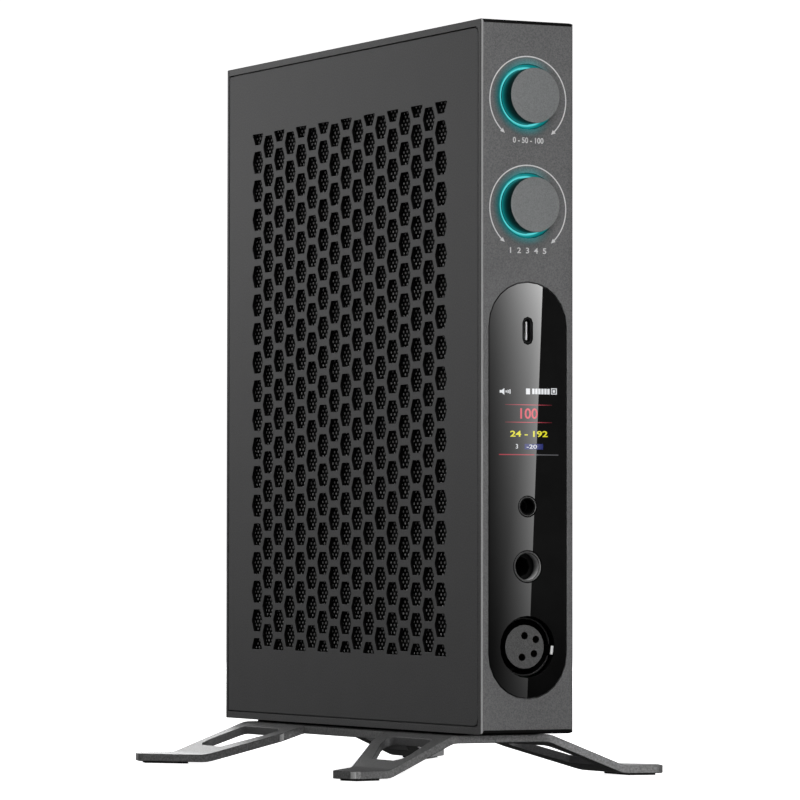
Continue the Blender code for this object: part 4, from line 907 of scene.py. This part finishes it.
dressed("xlr_shell", ["shade", "dull_lip"], 0.12 * MM, paint=xlr_rim_paint)
dressed("xlr_insert", ["grey", "shade"], 0.15 * MM, paint=insert_paint)
dressed("xlr_latch", ["latch", "shade"], 0.1 * MM, body="latch", paint=latch_paint)
for index, (across, up) in enumerate(CONTACT_PLACES, 1):
    place = (across * MM, INSERT_FACE + CONTACT_DEPTH, height_of("xlr_insert") + up * MM)
    turned(f"xlr_contact_{index}", CONTACT_PROFILE, place, "gold", loop=True, steps=32)

# ------------------------------------------------------------- rear sockets

PHONO = {
    "line_out_left": "white", "line_out_right": "red", "line_in_left": "white", "line_in_right": "red",
    "coaxial_socket": "black",
}
PHONO_BODY = 12 * MM
FIGURE_SIZE, FIGURE_X = 3.0, -9.5
# The flap and its rib: half width, back and front behind the mouth, bottom and top about the middle, and ease
SHUTTER = ((3.5, 3.2, 2.6, -3.5, 3.5, 0.15), (3.3, 2.6, 2.1, 2.3, 2.9, 0.12))
PIN_PROFILE = [(0, 0), (0.75, 0), (1.0, 0.25), (1.03, 0.4), (1.03, 7.4), (0, 7.4)]
PIN_DEPTH = 0.95 * MM


def phono_socket(node, colour):
    """A plated barrel, its insulator and centre contact, and the body behind them."""
    low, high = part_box(node)
    mouth = (0, high.y, height_of(node))
    reach = (high.y - REAR) / MM
    turned(
        node + "_barrel",
        [(3.5, 0.25), (3.62, 0), (3.98, 0), (4.15, 0.18), (4.15, reach - 1.2), (4.15, reach + 3.5),
         (3.5, reach + 3.5)],
        mouth, "gold", "case", [node], rear=True, loop=True,
    )
    turned(
        node + "_insulator",
        [(1.75, 0.9), (3.3, 0.75), (3.48, 0.95), (3.48, reach + 3.4), (1.75, reach + 3.4)],
        mouth, colour, rear=True, loop=True, steps=64,
    )
    turned(
        node + "_contact",
        [(1.45, 1.15), (1.6, 1.0), (1.73, 1.0), (1.73, reach + 3.3), (1.45, reach + 3.3)],
        mouth, "gold", rear=True, loop=True, steps=48,
    )
    bm = bmesh.new()
    block(bm, low, (high.x, low.y + PHONO_BODY, high.z), 0.3 * MM)
    put(node + "_body", mesh_of(node + "_body", bm, BLOCK_ANGLE), "black")


def optical_shutter():
    """The flap in the mouth of the optical socket, with a rib along its top."""
    mouth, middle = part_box("optical_socket")[1].y, height_of("optical_socket")
    bm = bmesh.new()
    for half, back, front, bottom, top, width in SHUTTER:
        block(
            bm, (-half * MM, mouth - back * MM, middle + bottom * MM),
            (half * MM, mouth - front * MM, middle + top * MM), width * MM,
        )
    put("optical_shutter", mesh_of("optical_shutter", bm, BLOCK_ANGLE), "oxide")


def rear_figure(index, node):
    """A number beside a rear socket."""
    z = height_of(node) / MM
    lettered(f"rear_figure_{index}", str(index), FIGURE_SIZE, FIGURE_X, z, "print", REAR, rear=True)


for index, (node, colour) in enumerate(PHONO.items(), 1):
    phono_socket(node, colour)
    rear_figure(index, node)
for index, node in enumerate(("optical_socket", "rear_usb_shell", "dc_inlet"), len(PHONO) + 1):
    rear_figure(index, node)
dressed("optical_socket", "black", 0.15 * MM)
optical_shutter()
dressed("dc_inlet", "black", 0.1 * MM)
turned(
    "dc_inlet_pin", PIN_PROFILE, (0, REAR - PIN_DEPTH, height_of("dc_inlet")), "bright",
    rear=True, steps=48,
)
for index in range(1, 5):
    dressed(f"rear_screw_{index}", "oxide", 0.12 * MM)

# -------------------------------------------------------------------- stand

# A cut edge of the plate faces more along Y than the first, or less along Z than the second
WALL_Y, WALL_Z = 0.3, 0.35
SAME_PLANE = 0.9999
# Narrow cut-edge roundings facing this way get a painted highlight
HIGHLIGHT_SIDE = Vector((-1, -1, 0)).normalized()
HIGHLIGHT_FACING = 0.97
HIGHLIGHT_AREA = 8 * MM * MM
SCREW_CLEAR = 10 * MM
HEEL_SIDE = 66 * MM
HEEL_DRAW = 7.5 * MM
HEEL_SLOPE = 0.67
HEEL_INNER = 24.7 * MM


def regions_of(bm, starts, joined):
    """The regions of faces that some faces lie in, each grown over its edges where joined(last, next) holds.

    They come in the order of the faces, so that each run gives the same mesh.
    """
    regions, done = [], set()
    for start in bm.faces:
        if start not in starts or start in done:
            continue
        region = [start]
        done.add(start)
        for last in region:
            for near in (near for side in last.edges for near in side.link_faces):
                if near not in done and joined(last, near):
                    region.append(near)
                    done.add(near)
        regions.append(region)
    return regions


def reach_along(band):
    """How far a band of faces reaches along Y."""
    ys = [v.co.y for face in band for v in face.verts]
    return max(ys) - min(ys)


def wall_bands(bm):
    """The closed bands of cut edge on the stand, shortest first: round the windows, then the outline."""
    walls = {f for f in bm.faces if abs(f.normal.y) > WALL_Y or abs(f.normal.z) < WALL_Z}
    return sorted(regions_of(bm, walls, lambda _, near: near in walls), key=reach_along)


def draw_windows(bm, windows):
    """Draw the heel end of each window in towards the stand's middle, most at its inner corner."""
    low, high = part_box("stand_bracket")
    middle = (low.y + high.y) / 2
    walls = {face for band in windows for face in band}
    moved = set()
    for vert in {v for face in walls for v in face.verts}:
        out, along = abs(vert.co.x), vert.co.y - middle
        if out > SCREW_CLEAR and abs(along) < HEEL_SIDE:
            shift = min(HEEL_DRAW, HEEL_DRAW - HEEL_SLOPE * (out - HEEL_INNER))
            vert.co.y -= math.copysign(shift, along)
            moved.add(vert)

    def in_plane(last, near):
        return near not in walls and near.normal.dot(last.normal) > SAME_PLANE

    for region in regions_of(bm, {face for vert in moved for face in vert.link_faces} - walls, in_plane):
        inside = set(region)
        border = [side for side in bm.edges if sum(near in inside for near in side.link_faces) == 1]
        bmesh.ops.delete(bm, geom=region, context="FACES")
        bmesh.ops.triangle_fill(bm, edges=border, use_beauty=True)
    join_flats(bm)
    bmesh.ops.recalc_face_normals(bm, faces=bm.faces)


def stand():
    """The bent plate, with paler cut edges, a pale painted highlight on the narrow roundings at their left
    front, and the window walls in the darker cover finish as painted shade.
    """
    bm = welded("stand_bracket")
    bm.normal_update()
    draw_windows(bm, wall_bands(bm)[:-1])
    bm.normal_update()
    *windows, outside = wall_bands(bm)
    # The window walls take the darker cover finish as painted shade
    for band in windows:
        for face in band:
            face.material_index = 3
    for face in outside:
        # Narrow roundings facing left front take the pale edge finish as a painted highlight
        highlit = face.calc_area() < HIGHLIGHT_AREA and face.normal.dot(HIGHLIGHT_SIDE) > HIGHLIGHT_FACING
        face.material_index = 2 if highlit else 1
    ease(bm, 0.25 * MM, STAND_EASED_ANGLE)
    mesh = mesh_of("stand_bracket_dressed", bm, DRESSED_ANGLE)
    looks = ["stand", "stand_edge", "edge", "cover"]
    even_normals(put("stand_bracket_dressed", mesh, looks, "case", ["stand_bracket"]))


stand()
dressed("stand_gasket", "shade", 0.1 * MM)
for index in range(1, 5):
    dressed(f"stand_pad_{index}", "rubber", 0.1 * MM)
for end in ("front", "rear"):
    dressed("stand_screw_" + end, "oxide", 0.1 * MM)

# ------------------------------------------------- what shows as CAD made it

INSIDE = {
    # The jack bodies are deep black as painted shade inside their sockets
    "shade": ("balanced_jack_body", "headphone_jack_body"),
    "black": ("display_module", "power_module", "capacitor_upper", "capacitor_lower"),
    "bright": (
        "volume_shaft", "menu_shaft", "volume_encoder_rotor", "menu_encoder_rotor", "volume_encoder_housing",
        "menu_encoder_housing", "ladder_module_left", "ladder_module_right",
    ),
    "board": ("front_board", "amp_board", "main_board"),
    "rear": ("heat_sink",),
    "grey": ("ribbon_cable",),
}
for look, names in INSIDE.items():
    for node in names:
        NODES[node].data.materials.clear()
        NODES[node].data.materials.append(FINISH[look])

# -------------------------------------------------------- floor and backdrop

FLOOR_RADIUS, FLOOR_DROP = 30, 0.05 * MM
BACKDROP_RADIUS = 29
PALE_DARK, PALE_LIGHT = 0.86, 0.9
PALE_PATCH = 0.6
PALE_SPAN = 0.3, 0.7
PALE_FADE = 0.2, 0.9


def staged(name, mesh, material):
    """Add a mesh that isn't part of the object."""
    obj = bpy.data.objects.new(name, mesh)
    mesh.materials.append(material)
    bpy.context.scene.collection.objects.link(obj)
    return obj


def pale(name, near_light, far_light):
    """A matt white that lifts its own shade a little near the object, and fully far from it."""
    material, tree, shader = new_material(name)
    tint = ramp(tree, noise(tree, PALE_PATCH), *PALE_SPAN, 0, 1)
    tree.links.new(mix(tree, tint, tone(PALE_DARK), tone(PALE_LIGHT)), shader.inputs["Base Color"])
    x, y, _ = split(tree, coords(tree))
    away = ramp(tree, radius_of(tree, x, y), *PALE_FADE, 0, 1)
    shine(tree, shader, away, tone(near_light), tone(far_light))
    shader.inputs["Roughness"].default_value = 0.9
    shader.inputs["Specular IOR Level"].default_value = 0.0
    return material


bm = bmesh.new()
bmesh.ops.create_circle(bm, cap_ends=True, segments=96, radius=FLOOR_RADIUS)
bmesh.ops.translate(bm, vec=(0, 0, -FLOOR_DROP), verts=bm.verts)
floor = staged("floor", mesh_of("floor", bm), pale("floor_white", 0.95, 1.0))
bm = bmesh.new()
bmesh.ops.create_uvsphere(bm, u_segments=64, v_segments=32, radius=BACKDROP_RADIUS)
backdrop = staged("backdrop", mesh_of("backdrop", bm), pale("backdrop_white", 1.0, 1.0))
for obj in (floor, backdrop):
    obj.visible_diffuse = False
    obj.visible_glossy = False
    obj.visible_transmission = False
backdrop.visible_shadow = False

# -------------------------------------------------------------------- lights

# Name, place, aim, width, height and power
LIGHTS = (
    ("side_back", (-0.25, 0.42, 0.28), (-0.018, 0.05, 0.15), 0.3, 0.3, 0.125),
    ("side_back_low", (-0.16, 0.36, 0.14), (-0.018, 0.08, 0.12), 0.2, 0.2, 0.028),
    ("side_back_high", (-0.14, 0.30, 0.30), (-0.018, 0.08, 0.20), 0.2, 0.2, 0.042),
    ("front_high", (-0.10, -0.75, 0.80), (0, -0.1, 0.14), 0.5, 0.5, 2.8),
    ("front_low", (-0.08, -1.25, 0.10), (0, -0.1, 0.10), 0.8, 0.18, 2.7),
    ("right_high", (0.14, -0.75, 0.80), (0, -0.1, 0.14), 0.3, 0.5, 1.05),
    ("right_low", (0.14, -1.25, 0.10), (0, -0.1, 0.10), 0.4, 0.18, 1.25),
    ("fill_right", (1.5, 0.6, 0.5), (0, 0, 0.13), 0.8, 0.8, 6),
    ("fill_back", (0.4, 1.7, 0.6), (0, 0, 0.13), 0.8, 0.8, 9),
)
LOBE_TOWARD = Vector((0.42, 0.88, 0.2)).normalized()
LOBE_SPAN = 0.62, 0.95
LOBE_DIM, LOBE_BRIGHT = 0.175, 0.9
BELOW_SPAN = -0.3, 0.1
BELOW_DIM = 0.08


def area(name, place, aim, width, height, power):
    light = bpy.data.lights.new(name, "AREA")
    light.shape = "RECTANGLE"
    light.size = width
    light.size_y = height
    light.energy = power
    obj = bpy.data.objects.new(name, light)
    bpy.context.scene.collection.objects.link(obj)
    obj.location = place
    obj.rotation_euler = (Vector(aim) - Vector(place)).to_track_quat("-Z", "Y").to_euler()
    obj.visible_camera = False


def studio():
    """Dim all round, darker below, with one broad bright lobe behind the object on the right."""
    world = bpy.data.worlds.new("studio")
    bpy.context.scene.world = world
    world.use_nodes = True
    tree = world.node_tree
    background = tree.nodes["Background"]
    toward = add(tree, "ShaderNodeVectorMath", operation="DOT_PRODUCT")
    tree.links.new(coords(tree, "Generated"), toward.inputs[0])
    toward.inputs[1].default_value = LOBE_TOWARD
    lobe = ramp(tree, toward.outputs["Value"], *LOBE_SPAN, LOBE_DIM, LOBE_BRIGHT)
    _, _, rise = split(tree, coords(tree, "Generated"))
    above = ramp(tree, rise, *BELOW_SPAN, BELOW_DIM, 1.0)
    tree.links.new(times(tree, lobe, above), background.inputs["Strength"])
    background.inputs["Color"].default_value = (1, 1, 1, 1)


studio()
for row in LIGHTS:
    area(*row)

# The sheen on the gloss insert: its sides, ends and slanting edge, in mm on the insert's face
SHEEN_LEFT, SHEEN_RIGHT = -16.5, 24.0
SHEEN_LOW, SHEEN_HIGH = 20.0, 178.0
SHEEN_EDGE_LOW, SHEEN_EDGE_HIGH = -0.48, 6.2
# How far ahead of that face its light panel stands, in metres, and how the light is graded
SHEEN_AHEAD = 0.9
SHEEN_PEAK = 16.2
SHEEN_CURVE = (6.144, -10.797, 8.024, -3.371)
SHEEN_FIRST_LOW, SHEEN_FIRST_HIGH = 0.12, 0.36
SHEEN_GRADE = 2.2
SHEEN_DIM = 0.1
SHEEN_DIM_SPAN = 0.05, 0.3
# Left of the edge the grade runs over 0 to 1 along U; right of it U is 2
SHEEN_UV = ((0, 0), (1, 0), (1, 1), (0, 1), (2, 0), (2, 0), (2, 1), (2, 1))
SHEEN_BEYOND = 1.5


def sheen_card():
    """A graded light panel in front; the gloss insert mirrors it as a pale sheen with one straight edge."""
    mirror = Vector((CAMERA_PLACE.x, 2 * LENS_FACE - CAMERA_PLACE.y, CAMERA_PLACE.z))
    plane = LENS_FACE - SHEEN_AHEAD
    stretch = (mirror.y - plane) / (mirror.y - LENS_FACE)

    def seen_at(x, z):
        return mirror.x + (x * MM - mirror.x) * stretch, plane, mirror.z + (z * MM - mirror.z) * stretch

    left, middle, right = (
        [seen_at(x_low, SHEEN_LOW), seen_at(x_high, SHEEN_HIGH)]
        for x_low, x_high in (
            (SHEEN_LEFT, SHEEN_LEFT), (SHEEN_EDGE_LOW, SHEEN_EDGE_HIGH), (SHEEN_RIGHT, SHEEN_RIGHT)
        )
    )
    mesh = bpy.data.meshes.new("sheen_card")
    mesh.from_pydata([*left, *middle, *middle, *right], [], [(0, 2, 3, 1), (4, 6, 7, 5)])
    layer = mesh.uv_layers.new(name="grade")
    for loop, uv in zip(layer.data, SHEEN_UV):
        loop.uv = uv
    material, tree, shader = new_material("sheen_light")
    tree.nodes.remove(shader)
    over, up, _ = split(tree, coords(tree, "UV"))
    power = SHEEN_CURVE[0]
    for term in SHEEN_CURVE[1:]:
        power = maths(tree, "ADD", times(tree, up, power), term)
    first = ramp(tree, up, 0, 1, SHEEN_FIRST_LOW, SHEEN_FIRST_HIGH)
    rise = times(tree, over, maths(tree, "SUBTRACT", 1.0, first))
    grade = maths(tree, "POWER", maths(tree, "ADD", first, rise), SHEEN_GRADE)
    bright = times(tree, times(tree, maths(tree, "EXPONENT", power), grade), SHEEN_PEAK)
    dim = ramp(tree, up, *SHEEN_DIM_SPAN, 0.0, SHEEN_DIM)
    beyond = maths(tree, "GREATER_THAN", over, SHEEN_BEYOND)
    within = maths(tree, "SUBTRACT", 1.0, beyond)
    light = add(tree, "ShaderNodeEmission")
    both = maths(tree, "ADD", times(tree, bright, within), times(tree, dim, beyond))
    tree.links.new(both, light.inputs["Strength"])
    tree.links.new(light.outputs["Emission"], tree.nodes["Material Output"].inputs["Surface"])
    card = staged("sheen_card", mesh, material)
    card.visible_camera = False
    card.visible_diffuse = False
    card.visible_shadow = False


sheen_card()

# -------------------------------------------------------------------- camera

camera_data = bpy.data.cameras.new("camera")
camera_data.sensor_fit = "HORIZONTAL"
camera_data.sensor_width = SENSOR
camera_data.lens = FOCAL_PIXELS / IMAGE_SIDE * SENSOR
camera = bpy.data.objects.new("camera", camera_data)
bpy.context.scene.collection.objects.link(camera)
axes = Matrix((CAMERA_RIGHT, CAMERA_UP, -CAMERA_AHEAD)).transposed().to_4x4()
camera.matrix_world = Matrix.Translation(CAMERA_PLACE) @ axes
bpy.context.scene.camera = camera
bpy.context.scene.view_settings.view_transform = "Standard"
